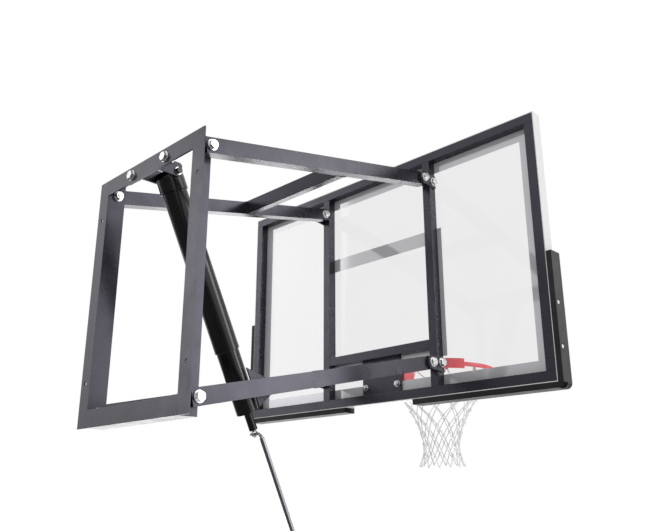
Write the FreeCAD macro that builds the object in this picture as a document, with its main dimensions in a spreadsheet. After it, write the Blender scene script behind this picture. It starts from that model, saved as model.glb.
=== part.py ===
"""Wall-hung basketball backboard on a swinging arm frame, raised and lowered by a screw jack.

Frame: +Z up, +Y from the wall to the court, +X to the right when looking from the wall.
The origin lies on the wall plane at the middle of the four anchor holes.
"""
import FreeCAD
import Part
import math
import os
import Sketcher

Vector = FreeCAD.Vector
Rotation = FreeCAD.Rotation
Placement = FreeCAD.Placement

# Driving dimensions in millimetres, degrees and counts
DRIVING = {
    # wall frame of steel angle
    "wall_wide": 600, "pivot_edge": 48, "angle_wall": 55, "angle_deep": 63, "angle_thick": 5,
    "rail_high": 56, "anchor_across": 550, "anchor_up": 550, "anchor_bore": 13,
    # swinging arms
    "pivot_out": 36, "pivot_inset": 115.5, "arm_long": 1032, "rest_tilt": 12.5, "arm_wide": 40,
    "arm_high": 50, "arm_wall": 3, "arm_gap": 2, "arm_tail": 22, "arm_nose": 20, "upper_bar_at": 577,
    "lower_bar_at": 466,
    # fasteners
    "pivot_bolt": 16, "pivot_head": 26, "pivot_head_high": 10, "pivot_nut_high": 13, "washer_wide": 35,
    "washer_thick": 3, "small_bolt": 12, "small_head": 19, "small_head_high": 8, "small_nut_high": 10,
    "small_washer_wide": 26, "small_washer_thick": 2.5, "bolt_spare": 3, "chamfer_share": 0.95,
    "bush_wall": 4, "running": 0.06, "slack": 0.3, "seat": 0.1,
    # board frame and pane
    "board_wide": 1524, "board_high": 965, "board_tube": 35, "board_tube_wall": 2.5, "pane_thick": 10,
    "film_thick": 0.3, "border_wide": 78, "target_wide": 634, "target_high": 505, "target_line": 57,
    "target_under_ring": 16.5, "trim_thick": 3, "trim_deep": 47, "trim_recess": 1, "pivot_behind": 34.8,
    "upright_at": 280, "mid_bar_above": 175.5, "hoop_plate_wide": 196, "hoop_plate_thick": 8,
    "ear_thick": 5, "ear_tail": 24, "ear_front": 68, "ear_drop": 31, "ear_flat": 50, "ear_corner": 9,
    "clamp_in": 5,
    # corner pads
    "pad_thick": 20, "pad_deep": 56, "pad_lip": 45, "pad_up": 460, "pad_end_at": 174, "pad_screw": 6,
    "pad_screw_head": 13, "pad_screw_head_high": 4, "pad_screw_long": 34, "pad_screw_low": 110,
    "pad_screw_gap": 148, "pad_head_room": 2,
    # hoop
    "ring_bore": 450, "ring_rod": 18, "ring_reach": 133, "ring_above": 163.5, "band_high": 40,
    "band_thick": 5, "band_spread": 124, "rim_plate_thick": 8, "rim_plate_high": 160, "washer_room": 2,
    "cheek_thick": 6, "cheek_deep": 60, "cheek_slope": 12, "hoop_bolt_across": 166, "hoop_bolt_up": 80,
    "hoop_bolt_low": 33, "hook_count": 12, "hook_ring": 6, "hook_wire": 4, "net_cord": 6, "net_long": 364,
    "net_rows": 7, "net_waist_wide": 152, "net_waist_share": 0.81, "net_curve": 1.8, "net_foot_wide": 190,
    # screw jack
    "jack_out": 78.5, "jack_above": 11, "clevis_at": 377.6, "jack_lug": 22, "jack_lug_wide": 88,
    "neck_wide": 62, "collar_wide": 91, "collar_from": 8, "collar_to": 56, "outer_wide": 82,
    "outer_bore": 78, "outer_to": 600, "guide_long": 20, "inner_wide": 74, "inner_bore": 66,
    "inner_past": 72, "inner_long": 562, "cap_thick": 6, "pin_room": 7.5, "nut_tube_wide": 36,
    "nut_tube_to": 430, "screw_wide": 20, "screw_long": 612, "weld_in": 2, "thrust_wide": 30,
    "thrust_long": 8, "socket_wide": 28, "socket_long": 61, "eye_ring": 10, "eye_wire": 6,
    "bracket_wide": 240, "bracket_thick": 6, "bracket_high": 48, "bracket_gap": 2,
    "bracket_bolt_across": 193, "bracket_bolt_down": 31, "bracket_ear_gap": 92, "bracket_ear_thick": 6,
    "bracket_ear_past": 14, "clevis_gap": 84, "clevis_thick": 6, "clevis_pin": 16, "clevis_pin_in": 30,
    "clevis_tongue": 22, "clevis_corner": 8, "clevis_aside": 16, "clevis_top": 73, "clevis_foot": 58,
    # crank
    "crank_tilt": 26.16, "crank_rod": 16, "crank_long": 1000, "crank_throw": 150, "crank_bend": 25,
    "crank_aside": 27.4, "crank_hook": 10, "crank_curl": 14, "crank_tail": 20, "grip_long": 130,
    "grip_wall": 4, "grip_end": 20, "grip_stop": 3,
}


class Size:
    """A number that also knows the sheet expression it comes from."""

    def __init__(self, value, text):
        self.value = float(value)
        self.text = text

    def __add__(self, other):
        return join(self, other, "+", lambda a, b: a + b)

    def __sub__(self, other):
        return join(self, other, "-", lambda a, b: a - b)

    def __mul__(self, other):
        return join(self, other, "*", lambda a, b: a * b)

    def __truediv__(self, other):
        return join(self, other, "/", lambda a, b: a / b)

    def __radd__(self, other):
        return sized(other) + self

    def __rsub__(self, other):
        return sized(other) - self

    def __rmul__(self, other):
        return sized(other) * self

    def __neg__(self):
        return sized(0) - self


def sized(value):
    """Give a plain number the same form as a sheet size."""
    if isinstance(value, Size):
        return value
    return Size(value, repr(float(value)))


def join(left, right, sign, work):
    """Combine two sizes, in value and in expression."""
    left = sized(left)
    right = sized(right)
    return Size(work(left.value, right.value), f"({left.text} {sign} {right.text})")


def sine(angle):
    """Sine of an angle in degrees."""
    return Size(math.sin(math.radians(angle.value)), f"sin({angle.text})")


def cosine(angle):
    """Cosine of an angle in degrees."""
    return Size(math.cos(math.radians(angle.value)), f"cos({angle.text})")


def slope_angle(rise, run):
    """Angle in degrees whose tangent is rise over run."""
    angle = math.degrees(math.atan2(rise.value, run.value))
    return Size(angle, f"(atan({rise.text} / {run.text}) / 1 deg)")


def root(square):
    """Square root."""
    return Size(math.sqrt(square.value), f"sqrt({square.text})")


def make_sheet(doc):
    """Write the driving dimensions into a sheet and return them by name."""
    sheet = doc.addObject("Spreadsheet::Sheet", "Sizes")
    sizes = {}
    for row, (name, value) in enumerate(DRIVING.items(), start=1):
        sheet.set(f"A{row}", name)
        sheet.set(f"B{row}", str(value))
        sheet.setAlias(f"B{row}", name)
        sizes[name] = Size(value, f"Sizes.{name}")
    doc.recompute()
    return sizes


doc = FreeCAD.newDocument("backboard")
size = make_sheet(doc)
pieces = []

TURN_X = Vector(1, 0, 0)
OUTWARD = {1: Vector(1, 0, 0), -1: Vector(-1, 0, 0)}
SIDES = {"left": -1, "right": 1}


def bind(thing, name, value):
    """Set a size property and tie it to the sheet."""
    value = sized(value)
    setattr(thing, name, value.value)
    thing.setExpression(name, value.text)


def place(thing, x=0, y=0, z=0, turn=None, tilt=None):
    """Place an object; its position, and a tilt about X, are tied to the sheet."""
    spot = [sized(x), sized(y), sized(z)]
    if tilt is not None:
        turn = Rotation(TURN_X, tilt.value)
    thing.Placement = Placement(Vector(*[part.value for part in spot]), turn or Rotation())
    for axis, part in zip("xyz", spot):
        thing.setExpression(f"Placement.Base.{axis}", part.text)
    if tilt is not None:
        thing.setExpression("Placement.Rotation.Angle", tilt.text)
    return thing


def keep(thing, label):
    """Name a finished piece, which is then written to its own file."""
    thing.Label = label
    pieces.append(thing)
    return thing


def box(long_x, long_y, long_z, x=0, y=0, z=0):
    """Box from its low corner."""
    thing = doc.addObject("Part::Box", "Box")
    bind(thing, "Length", long_x)
    bind(thing, "Width", long_y)
    bind(thing, "Height", long_z)
    return place(thing, x, y, z)


def along(direction):
    """Rotation that turns the Z axis to a direction."""
    return Rotation(Vector(0, 0, 1), direction)


def rod(radius, length, x=0, y=0, z=0, direction=Vector(0, 0, 1)):
    """Round bar from a point along a direction."""
    thing = doc.addObject("Part::Cylinder", "Rod")
    bind(thing, "Radius", radius)
    bind(thing, "Height", length)
    return place(thing, x, y, z, turn=along(direction))


def hexagon(across, height, x=0, y=0, z=0, direction=Vector(0, 0, 1)):
    """Six-sided head of a width across its flats, with its outer corners turned off to a cone."""
    bar = doc.addObject("Part::Prism", "Hexagon")
    bar.Polygon = 6
    bind(bar, "Circumradius", across / math.sqrt(3))
    bind(bar, "Height", height)
    place(bar, x, y, z, turn=along(direction))
    cone = doc.addObject("Part::Cone", "Chamfer")
    bind(cone, "Radius1", across / 2 + height * math.sqrt(3))
    bind(cone, "Radius2", across / 2 * size["chamfer_share"])
    bind(cone, "Height", height)
    place(cone, x, y, z, turn=along(direction))
    head = doc.addObject("Part::Common", "Head")
    head.Base = bar
    head.Tool = cone
    return head


def ring(large, small, x=0, y=0, z=0, direction=Vector(0, 0, 1)):
    """Round ring of a round bar."""
    thing = doc.addObject("Part::Torus", "Ring")
    bind(thing, "Radius1", large)
    bind(thing, "Radius2", small)
    return place(thing, x, y, z, turn=along(direction))


def group(parts):
    """Separate solids kept together as one object."""
    thing = doc.addObject("Part::Compound", "Group")
    thing.Links = parts
    return thing


def cut(base, tools):
    """Base with the tools taken away."""
    thing = doc.addObject("Part::Cut", "Cut")
    thing.Base = base
    thing.Tool = tools[0] if len(tools) == 1 else group(tools)
    return thing


def fuse(parts):
    """Parts joined into one solid."""
    thing = doc.addObject("Part::MultiFuse", "Fuse")
    thing.Shapes = parts
    thing.Refine = True
    return thing


def pipe(outer_radius, inner_radius, length, x=0, y=0, z=0, direction=Vector(0, 0, 1)):
    """Round tube; the bore runs past both ends so that they come out clean."""
    over = 1
    back = direction * -over
    start = [sized(value) + part for value, part in zip((x, y, z), back)]
    outer = rod(outer_radius, length, x, y, z, direction)
    bore = rod(inner_radius, length + 2 * over, *start, direction)
    return cut(outer, [bore])


def box_tube(long_x, long_y, long_z, wall, run, x=0, y=0, z=0):
    """Box section tube, open at both ends of its run."""
    over = 1
    lengths = {"x": sized(long_x), "y": sized(long_y), "z": sized(long_z)}
    corner = {"x": sized(x), "y": sized(y), "z": sized(z)}
    hollow = {}
    start = {}
    for axis in "xyz":
        margin = sized(-over) if axis == run else wall
        hollow[axis] = lengths[axis] - 2 * margin
        start[axis] = corner[axis] + margin
    outer = box(*lengths.values(), *corner.values())
    inner = box(*hollow.values(), *start.values())
    return cut(outer, [inner])


def origin_plane(body, role):
    """Origin plane of a body by its role."""
    return [feature for feature in body.Origin.OriginFeatures if feature.Role == role][0]


def new_sketch(body, role):
    """Sketch on one of the body's own origin planes."""
    sketch = body.newObject("Sketcher::SketchObject", "Sketch")
    sketch.AttachmentSupport = (origin_plane(body, role), [""])
    sketch.MapMode = "FlatFace"
    return sketch


def pin_point(sketch, line, end, x, y):
    """Tie one end of a sketch line to its place from the sketch origin."""
    for kind, value, axis in (("DistanceX", sized(x), -2), ("DistanceY", sized(y), -1)):
        if abs(value.value) < 1e-9:
            sketch.addConstraint(Sketcher.Constraint("PointOnObject", line, end, axis))
            continue
        index = sketch.addConstraint(Sketcher.Constraint(kind, -1, 1, line, end, value.value))
        sketch.setExpression(f"Constraints[{index}]", value.text)


def outline(sketch, corners):
    """Closed straight-sided outline through corners that are tied to the sheet."""
    points = [Vector(sized(x).value, sized(y).value, 0) for x, y in corners]
    count = len(points)
    lines = []
    for index, start in enumerate(points):
        lines.append(sketch.addGeometry(Part.LineSegment(start, points[(index + 1) % count])))
    for index, line in enumerate(lines):
        sketch.addConstraint(Sketcher.Constraint("Coincident", line, 2, lines[(index + 1) % count], 1))
    for line, (x, y) in zip(lines, corners):
        pin_point(sketch, line, 1, x, y)


def plate(role, corners, thick):
    """Flat-sided solid: an outline on an origin plane, padded to a thickness."""
    body = doc.addObject("PartDesign::Body", "Body")
    sketch = new_sketch(body, role)
    outline(sketch, corners)
    pad = body.newObject("PartDesign::Pad", "Pad")
    pad.Profile = sketch
    bind(pad, "Length", thick)
    body.Tip = pad
    return body


def bolt(shank, long_shank, head, head_high, x, y, z, direction):
    """Hex bolt: the head stands on the point and the shank runs back from it."""
    reach = sized(long_shank)
    top = hexagon(head, head_high, x, y, z, direction)
    spot = [sized(value) - reach * part for value, part in zip((x, y, z), direction)]
    body = rod(shank / 2, reach, *spot, direction)
    return fuse([top, body])


def nut(bore, across, height, x, y, z, direction):
    """Hex nut from its seat along a direction."""
    over = 1
    hole = rod(bore / 2 + size["running"], height + 2 * over,
               *[sized(value) - over * part for value, part in zip((x, y, z), direction)], direction)
    return cut(hexagon(across, height, x, y, z, direction), [hole])


def washer(bore, across, thick, x, y, z, direction):
    """Flat washer from its seat along a direction."""
    return pipe(across / 2, bore / 2 + size["running"], thick, x, y, z, direction)


# Derived places that several pieces share
inner_face = size["wall_wide"] / 2 - size["angle_wall"]
arm_inner = inner_face + size["angle_thick"] + size["arm_gap"]
arm_outer = arm_inner + size["arm_wide"]
pivot_bore = size["pivot_bolt"] / 2 + size["running"]
bush_outer = pivot_bore + size["bush_wall"]
tilt = size["rest_tilt"]
pivot_rise = size["board_high"] / 2 - size["pivot_inset"]
wall_high = 2 * (pivot_rise + size["pivot_edge"])
jack_up = pivot_rise + size["jack_above"]
bracket_bolt_up = wall_high / 2 - size["bracket_bolt_down"]
board_pivot = size["pivot_out"] + size["arm_long"] * cosine(tilt)
board_middle = size["arm_long"] * sine(tilt)
board_back = board_pivot + size["pivot_behind"]
tube = size["board_tube"]
tube_front = board_back + tube
film_back = tube_front + size["seat"]
pane_back = film_back + size["film_thick"] + size["seat"]
pane_front = pane_back + size["pane_thick"]
rim_back = pane_front + size["seat"]
board_low = board_middle - size["board_high"] / 2
board_top = board_middle + size["board_high"] / 2
half_board = size["board_wide"] / 2
trim_at = half_board + size["seat"]
bolt_row = board_back + tube / 2
clevis_out = size["pivot_out"] + size["clevis_at"] * cosine(tilt)
clevis_up = size["clevis_at"] * sine(tilt) - pivot_rise
jack_run = clevis_out - size["jack_out"]
jack_drop = jack_up - clevis_up
jack_tilt = slope_angle(jack_run, jack_drop)
jack_length = root(jack_run * jack_run + jack_drop * jack_drop)
ring_radius = size["ring_bore"] / 2 + size["ring_rod"] / 2
ring_out = pane_front + size["ring_reach"] + size["ring_bore"] / 2
ring_up = board_low + size["ring_above"]
hook_outer = size["hook_ring"] + size["hook_wire"] / 2
inner_end = jack_length + size["inner_past"]
socket_to = inner_end + size["socket_long"]
eye_at = socket_to + size["eye_ring"] + size["eye_wire"] / 2
DOWN = Vector(0, 0, -1)
TO_WALL = Vector(0, -1, 0)
TO_COURT = Vector(0, 1, 0)


def mount_arm_piece(thing, level):
    """Set a piece that was built along its arm onto the arm's wall pivot."""
    return place(thing, 0, size["pivot_out"], pivot_rise * level, tilt=tilt)


def mount_jack_piece(thing):
    """Set a piece that was built hanging down onto the jack's tilted axis."""
    return place(thing, 0, size["jack_out"], jack_up, tilt=jack_tilt)


def build_wall_frame():
    """Four steel angles with anchor holes and pivot holes."""
    half_high = wall_high / 2
    thick = size["angle_thick"]
    deep = size["angle_deep"]
    hole = size["anchor_bore"] / 2
    pivot_hole = size["pivot_bolt"] / 2 + size["slack"]
    for name, side in SIDES.items():
        outer = size["wall_wide"] / 2 * side
        inner = inner_face * side
        web = (inner_face + thick) * side
        corners = [(outer, 0), (outer, thick), (web, thick), (web, deep), (inner, deep), (inner, 0)]
        body = plate("XY_Plane", corners, wall_high)
        place(body, 0, 0, -half_high)
        tools = []
        for level in (-1, 1):
            tools.append(rod(hole, 3 * thick, size["anchor_across"] / 2 * side, -thick,
                             size["anchor_up"] / 2 * level, TO_COURT))
            tools.append(rod(pivot_hole, 3 * thick, (inner_face - thick) * side, size["pivot_out"],
                             pivot_rise * level, OUTWARD[side]))
        keep(cut(body, tools), f"wall_upright_{name}")
    for name, level in (("bottom", -1), ("top", 1)):
        edge = half_high * level
        shelf = (half_high - thick) * level
        low = (half_high - size["rail_high"]) * level
        corners = [(0, edge), (deep, edge), (deep, shelf), (thick, shelf), (thick, low), (0, low)]
        body = plate("YZ_Plane", corners, 2 * inner_face)
        place(body, -inner_face, 0, 0)
        if name == "bottom":
            keep(body, "wall_rail_bottom")
            continue
        half_across = size["bracket_bolt_across"] / 2
        tools = [rod(pivot_hole, 3 * thick, half_across * side, -thick, bracket_bolt_up, TO_COURT)
                 for side in SIDES.values()]
        keep(cut(body, tools), "wall_rail_top")


def build_jack_bracket():
    """Plate bolted behind the top rail, with two ears for the jack's pivot bolt."""
    thick = size["angle_thick"]
    face = thick + size["bracket_thick"]
    top = wall_high / 2 - thick - size["bracket_gap"]
    low = top - size["bracket_high"]
    tip = size["jack_out"] + size["bracket_ear_past"]
    chamfer = size["bracket_ear_past"] / 2
    base = box(size["bracket_wide"], size["bracket_thick"], top - low, -size["bracket_wide"] / 2, thick, low)
    parts = [base]
    half_gap = size["bracket_ear_gap"] / 2
    corners = [(face, low), (tip - 2 * chamfer, low), (tip, low + chamfer), (tip, top - chamfer),
               (tip - chamfer, top), (face, top)]
    for side in SIDES.values():
        ear = plate("YZ_Plane", corners, size["bracket_ear_thick"])
        start = half_gap if side > 0 else -half_gap - size["bracket_ear_thick"]
        parts.append(place(ear, start, 0, 0))
    reach = size["bracket_wide"]
    bolt_hole = size["pivot_bolt"] / 2 + size["slack"]
    tools = [rod(size["small_bolt"] / 2 + size["slack"], reach, -reach / 2, size["jack_out"], jack_up, TURN_X)]
    for side in SIDES.values():
        tools.append(rod(bolt_hole, 3 * thick, size["bracket_bolt_across"] / 2 * side, thick / 2,
                         bracket_bolt_up, TO_COURT))
    keep(cut(fuse(parts), tools), "jack_bracket")
    bolts = []
    washers = []
    nuts = []
    flat = size["washer_thick"]
    for side in SIDES.values():
        x = size["bracket_bolt_across"] / 2 * side
        grip = 2 * flat + face + size["pivot_nut_high"] + size["bolt_spare"]
        bolts.append(bolt(size["pivot_bolt"], grip, size["pivot_head"], size["pivot_head_high"],
                          x, -flat, bracket_bolt_up, TO_WALL))
        for seat, direction in ((sized(0), TO_WALL), (face, TO_COURT)):
            washers.append(washer(size["pivot_bolt"], size["washer_wide"], flat,
                                  x, seat, bracket_bolt_up, direction))
        nuts.append(nut(size["pivot_bolt"], size["pivot_head"], size["pivot_nut_high"],
                        x, face + flat, bracket_bolt_up, TO_COURT))
        ear_face = (half_gap + size["bracket_ear_thick"]) * side
        washers.append(washer(size["small_bolt"], size["small_washer_wide"], size["small_washer_thick"],
                              ear_face, size["jack_out"], jack_up, OUTWARD[side]))
    outer = half_gap + size["bracket_ear_thick"] + size["small_washer_thick"]
    at = (size["jack_out"], jack_up)
    span = 2 * outer + size["small_nut_high"] + size["bolt_spare"]
    nuts.append(nut(size["small_bolt"], size["small_head"], size["small_nut_high"], -outer, *at, OUTWARD[-1]))
    keep(group(bolts), "bracket_bolts")
    keep(group(washers), "bracket_washers")
    keep(group(nuts), "bracket_nuts")
    keep(bolt(size["small_bolt"], span, size["small_head"], size["small_head_high"], outer, *at, OUTWARD[1]),
         "jack_pivot_bolt")


def build_wall_pivots():
    """Bolts, washers and nuts that carry the four arms on the wall frame."""
    bolts = []
    washers = []
    nuts = []
    for side in SIDES.values():
        for level in (-1, 1):
            at = (size["pivot_out"], pivot_rise * level)
            seat = arm_outer + size["slack"]
            head_at = seat + size["washer_thick"]
            nut_at = inner_face - size["washer_thick"]
            span = head_at - nut_at + size["pivot_nut_high"] + size["bolt_spare"]
            bolts.append(bolt(size["pivot_bolt"], span, size["pivot_head"], size["pivot_head_high"],
                              head_at * side, *at, OUTWARD[side]))
            nuts.append(nut(size["pivot_bolt"], size["pivot_head"], size["pivot_nut_high"],
                            nut_at * side, *at, OUTWARD[-side]))
            outer_washer = washer(size["pivot_bolt"], size["washer_wide"], size["washer_thick"],
                                  seat * side, *at, OUTWARD[side])
            thrust_washer = washer(size["pivot_bolt"], size["washer_wide"], size["arm_gap"] - size["slack"],
                                   (inner_face + size["angle_thick"]) * side, *at, OUTWARD[side])
            nut_washer = washer(size["pivot_bolt"], size["washer_wide"], size["washer_thick"],
                                inner_face * side, *at, OUTWARD[-side])
            washers += [outer_washer, thrust_washer, nut_washer]
    keep(group(bolts), "wall_pivot_bolts")
    keep(group(washers), "wall_pivot_washers")
    keep(group(nuts), "wall_pivot_nuts")


def build_arms(name, level, bar_at):
    """Two box tubes and their cross bar, built along Y from the wall pivot and then tilted."""
    tail = size["arm_tail"]
    long_tube = size["arm_long"] + tail + size["arm_nose"]
    half = size["arm_high"] / 2
    over = 5
    for side_name, side in SIDES.items():
        low_x = arm_inner if side > 0 else -arm_outer
        arm = box_tube(size["arm_wide"], long_tube, size["arm_high"], size["arm_wall"], "y",
                       low_x, -tail, -half)
        holes = [rod(bush_outer, size["arm_wide"] + 2 * over, low_x - over, spot, 0, TURN_X)
                 for spot in (sized(0), size["arm_long"])]
        keep(mount_arm_piece(cut(arm, holes), level), f"{name}_arm_{side_name}")
    bar = box_tube(2 * arm_inner, size["arm_wide"], size["arm_high"], size["arm_wall"], "x",
                   -arm_inner, bar_at, -half)
    keep(mount_arm_piece(bar, level), f"{name}_cross_bar")
    bushes = []
    for side in SIDES.values():
        low_x = arm_inner if side > 0 else -arm_outer
        for spot in (sized(0), size["arm_long"]):
            bushes.append(pipe(bush_outer, pivot_bore, size["arm_wide"], low_x, spot, 0, TURN_X))
    keep(mount_arm_piece(group(bushes), level), f"{name}_arm_bushes")


def build_clevis():
    """Two plates on the lower cross bar whose stub pins carry the jack's inner tube."""
    half_gap = size["clevis_gap"] / 2
    thick = size["clevis_thick"]
    at = size["clevis_at"]
    bar = size["lower_bar_at"]
    half = size["arm_high"] / 2
    tongue = size["clevis_tongue"]
    corner = size["clevis_corner"]
    lean = jack_tilt - tilt

    def beside_jack(up):
        """Corner on the plate's rear edge, which runs beside the jack's axis."""
        return at + (size["clevis_aside"] - up * sine(lean)) / cosine(lean), up

    corners = [(at - tongue, corner - tongue), (at - tongue, tongue - corner), (at + corner - tongue, tongue),
               beside_jack(tongue), beside_jack(size["clevis_top"]), (bar, half), (bar, -half),
               beside_jack(-size["clevis_foot"]), beside_jack(-tongue), (at + corner - tongue, -tongue)]
    plates = []
    pins = []
    for side in SIDES.values():
        body = plate("YZ_Plane", corners, thick)
        start = half_gap if side > 0 else -half_gap - thick
        place(body, start, 0, 0)
        hole = rod(size["clevis_pin"] / 2 + size["running"], 3 * thick, start - thick, at, 0, TURN_X)
        plates.append(cut(body, [hole]))
        head_at = (half_gap + thick) * side
        pins.append(bolt(size["clevis_pin"], half_gap + thick - size["clevis_pin_in"], size["pivot_head"],
                         size["pivot_head_high"], head_at, at, 0, OUTWARD[side]))
    keep(mount_arm_piece(group(plates), -1), "jack_clevis_plates")
    keep(mount_arm_piece(group(pins), -1), "jack_clevis_pins")


def build_board_frame():
    """Welded frame of square tube behind the pane."""
    wall = size["board_tube_wall"]
    inside = size["board_high"] - 2 * tube
    upright = size["upright_at"]
    screws = pad_screw_spots()
    bore = size["pad_screw"] / 2 + size["slack"]
    reach = size["pad_screw_long"] + size["slack"]
    top_tube = box_tube(size["board_wide"], tube, tube, wall, "x", -half_board, board_back, board_top - tube)
    keep(top_tube, "frame_tube_top")
    low_tube = box_tube(size["board_wide"], tube, tube, wall, "x", -half_board, board_back, board_low)
    keep(low_tube, "frame_tube_bottom")
    for name, side in SIDES.items():
        low_x = half_board - tube if side > 0 else -half_board
        edge = box_tube(tube, tube, inside, wall, "z", low_x, board_back, board_low + tube)
        drilled = [rod(bore, reach, x, y, z, along_in) for x, y, z, along_in in screws[name]]
        keep(cut(edge, drilled), f"frame_tube_{name}")
        post_x = upright * side - tube / 2
        post = box_tube(tube, tube, inside, wall, "z", post_x, board_back, board_low + tube)
        holes = [rod(size["pivot_bolt"] / 2 + size["slack"], tube, upright * side, bolt_row,
                     board_middle + (pivot_rise - size["clamp_in"]) * level, OUTWARD[side]) for level in (-1, 1)]
        keep(cut(post, holes), f"frame_upright_{name}")
    gap = 2 * upright - tube
    bar_low = board_low + size["mid_bar_above"]
    keep(box_tube(gap, tube, tube, wall, "x", -gap / 2, board_back, bar_low), "frame_mid_bar")
    plate_low = board_low + tube
    thick = size["hoop_plate_thick"]
    wide = size["hoop_plate_wide"]
    steel = box(wide, thick, bar_low - plate_low, -wide / 2, tube_front - thick, plate_low)
    keep(cut(steel, hoop_holes()), "hoop_plate")


def hoop_bolt_spots():
    """The four hoop bolts, as pairs of X and Z."""
    low = board_low + tube + size["hoop_bolt_low"]
    return [(size["hoop_bolt_across"] / 2 * side, low + size["hoop_bolt_up"] * step)
            for side in SIDES.values() for step in (0, 1)]


def hoop_holes():
    """Drilling for the hoop bolts, right through plate, pane and rim plate."""
    reach = 2 * tube
    return [rod(size["small_bolt"] / 2 + size["slack"], reach, x, pane_back - tube, z, TO_COURT)
            for x, z in hoop_bolt_spots()]


def build_hoop_bolts():
    """Bolts from the rim plate through to the hoop plate; gives back their nuts and washers."""
    front = rim_back + size["rim_plate_thick"]
    back = tube_front - size["hoop_plate_thick"]
    thick = size["small_washer_thick"]
    span = front - back + 2 * thick + size["small_nut_high"] + size["bolt_spare"]
    bolts = []
    nuts = []
    washers = []
    for x, z in hoop_bolt_spots():
        bolts.append(bolt(size["small_bolt"], span, size["small_head"], size["small_head_high"],
                          x, front + thick, z, TO_COURT))
        nuts.append(nut(size["small_bolt"], size["small_head"], size["small_nut_high"],
                        x, back - thick, z, TO_WALL))
        for seat, direction in ((front, TO_COURT), (back, TO_WALL)):
            washers.append(washer(size["small_bolt"], size["small_washer_wide"], thick,
                                  x, seat, z, direction))
    keep(group(bolts), "hoop_bolts")
    return nuts, washers


def build_brackets():
    """Ear plates bolted to the outer sides of the board uprights, which hold the arm ends."""
    ear_seat = size["upright_at"] + tube / 2
    thick = size["ear_thick"]
    tail = size["ear_tail"]
    corner = size["ear_corner"]
    flat = size["washer_thick"]
    head_seat = ear_seat + thick
    head_at = head_seat + flat
    arm_seat = arm_inner - size["slack"]
    nut_at = arm_seat - flat
    filler = arm_outer + size["slack"]
    weld_nut_at = ear_seat - size["board_tube_wall"]
    past_nut = size["pivot_nut_high"] + size["bolt_spare"]
    ears = []
    pivot_bolts = []
    clamp_bolts = []
    nuts, washers = build_hoop_bolts()
    for side in SIDES.values():
        for level in (-1, 1):
            up = board_middle + pivot_rise * level
            pivot = (board_pivot, up)
            clamp = (bolt_row, up - size["clamp_in"] * level)
            ear = plate("YZ_Plane", [(-tail, -corner), (-corner, -tail), (size["ear_flat"], -size["ear_drop"]),
                                     (size["ear_front"], -size["ear_drop"]), (size["ear_front"], tail),
                                     (-corner, tail), (-tail, corner)], thick)
            start = ear_seat if side > 0 else -head_seat
            place(ear, start, board_pivot, up)
            holes = [rod(size["pivot_bolt"] / 2 + size["slack"], 3 * thick, start - thick, *spot, TURN_X)
                     for spot in (pivot, clamp)]
            ears.append(cut(ear, holes))
            washers.append(washer(size["pivot_bolt"], size["washer_wide"], ear_seat - filler,
                                  filler * side, *pivot, OUTWARD[side]))
            washers.append(washer(size["pivot_bolt"], size["washer_wide"], flat,
                                  arm_seat * side, *pivot, OUTWARD[-side]))
            for spot in (pivot, clamp):
                washers.append(washer(size["pivot_bolt"], size["washer_wide"], flat,
                                      head_seat * side, *spot, OUTWARD[side]))
            pivot_bolts.append(bolt(size["pivot_bolt"], head_at - nut_at + past_nut, size["pivot_head"],
                                    size["pivot_head_high"], head_at * side, *pivot, OUTWARD[side]))
            nuts.append(nut(size["pivot_bolt"], size["pivot_head"], size["pivot_nut_high"],
                            nut_at * side, *pivot, OUTWARD[-side]))
            # The clamp bolt ends in a round nut that is welded inside the tube's outer wall
            clamp_bolts.append(bolt(size["pivot_bolt"], head_at - weld_nut_at + past_nut, size["pivot_head"],
                                    size["pivot_head_high"], head_at * side, *clamp, OUTWARD[side]))
            nuts.append(washer(size["pivot_bolt"], size["pivot_head"], size["pivot_nut_high"],
                               weld_nut_at * side, *clamp, OUTWARD[-side]))
    keep(group(ears), "board_bracket_ears")
    keep(group(pivot_bolts), "board_pivot_bolts")
    keep(group(clamp_bolts), "board_clamp_bolts")
    keep(group(nuts), "board_nuts")
    keep(group(washers), "board_washers")


def frame_film(wide, high, line, low):
    """Thin rectangular line on the back of the pane."""
    over = 1
    thick = size["film_thick"]
    outer = box(wide, thick, high, -wide / 2, film_back, low)
    inner = box(wide - 2 * line, thick + 2 * over, high - 2 * line,
                line - wide / 2, film_back - over, low + line)
    return cut(outer, [inner])


def build_pane():
    """Clear pane, its printed lines and its white edge trims."""
    sheet = box(size["board_wide"], size["pane_thick"], size["board_high"], -half_board, pane_back, board_low)
    keep(cut(sheet, hoop_holes()), "pane")
    border = frame_film(size["board_wide"], size["board_high"], size["border_wide"], board_low)
    target_low = ring_up - size["target_under_ring"]
    target = frame_film(size["target_wide"], size["target_high"], size["target_line"], target_low)
    keep(group([cut(border, hoop_holes()), cut(target, hoop_holes())]), "board_lines")
    thick = size["trim_thick"]
    screws = pad_screw_spots()
    bore = size["pad_screw"] / 2 + size["slack"]
    reach = size["pad_screw_long"] + size["slack"]
    rear = board_back + size["trim_recess"]
    deep = size["trim_deep"] - size["trim_recess"]
    strips = []
    for low in (board_low - size["seat"] - thick, board_top + size["seat"]):
        strips.append(box(2 * (trim_at + thick), deep, thick, -trim_at - thick, rear, low))
    for name, side in SIDES.items():
        low_x = trim_at if side > 0 else -trim_at - thick
        strip = box(thick, deep, size["board_high"], low_x, rear, board_low)
        holes = [rod(bore, reach, x, y, z, inward) for x, y, z, inward in screws[name]]
        strips.append(cut(strip, holes))
    keep(group(strips), "edge_trims")


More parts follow.
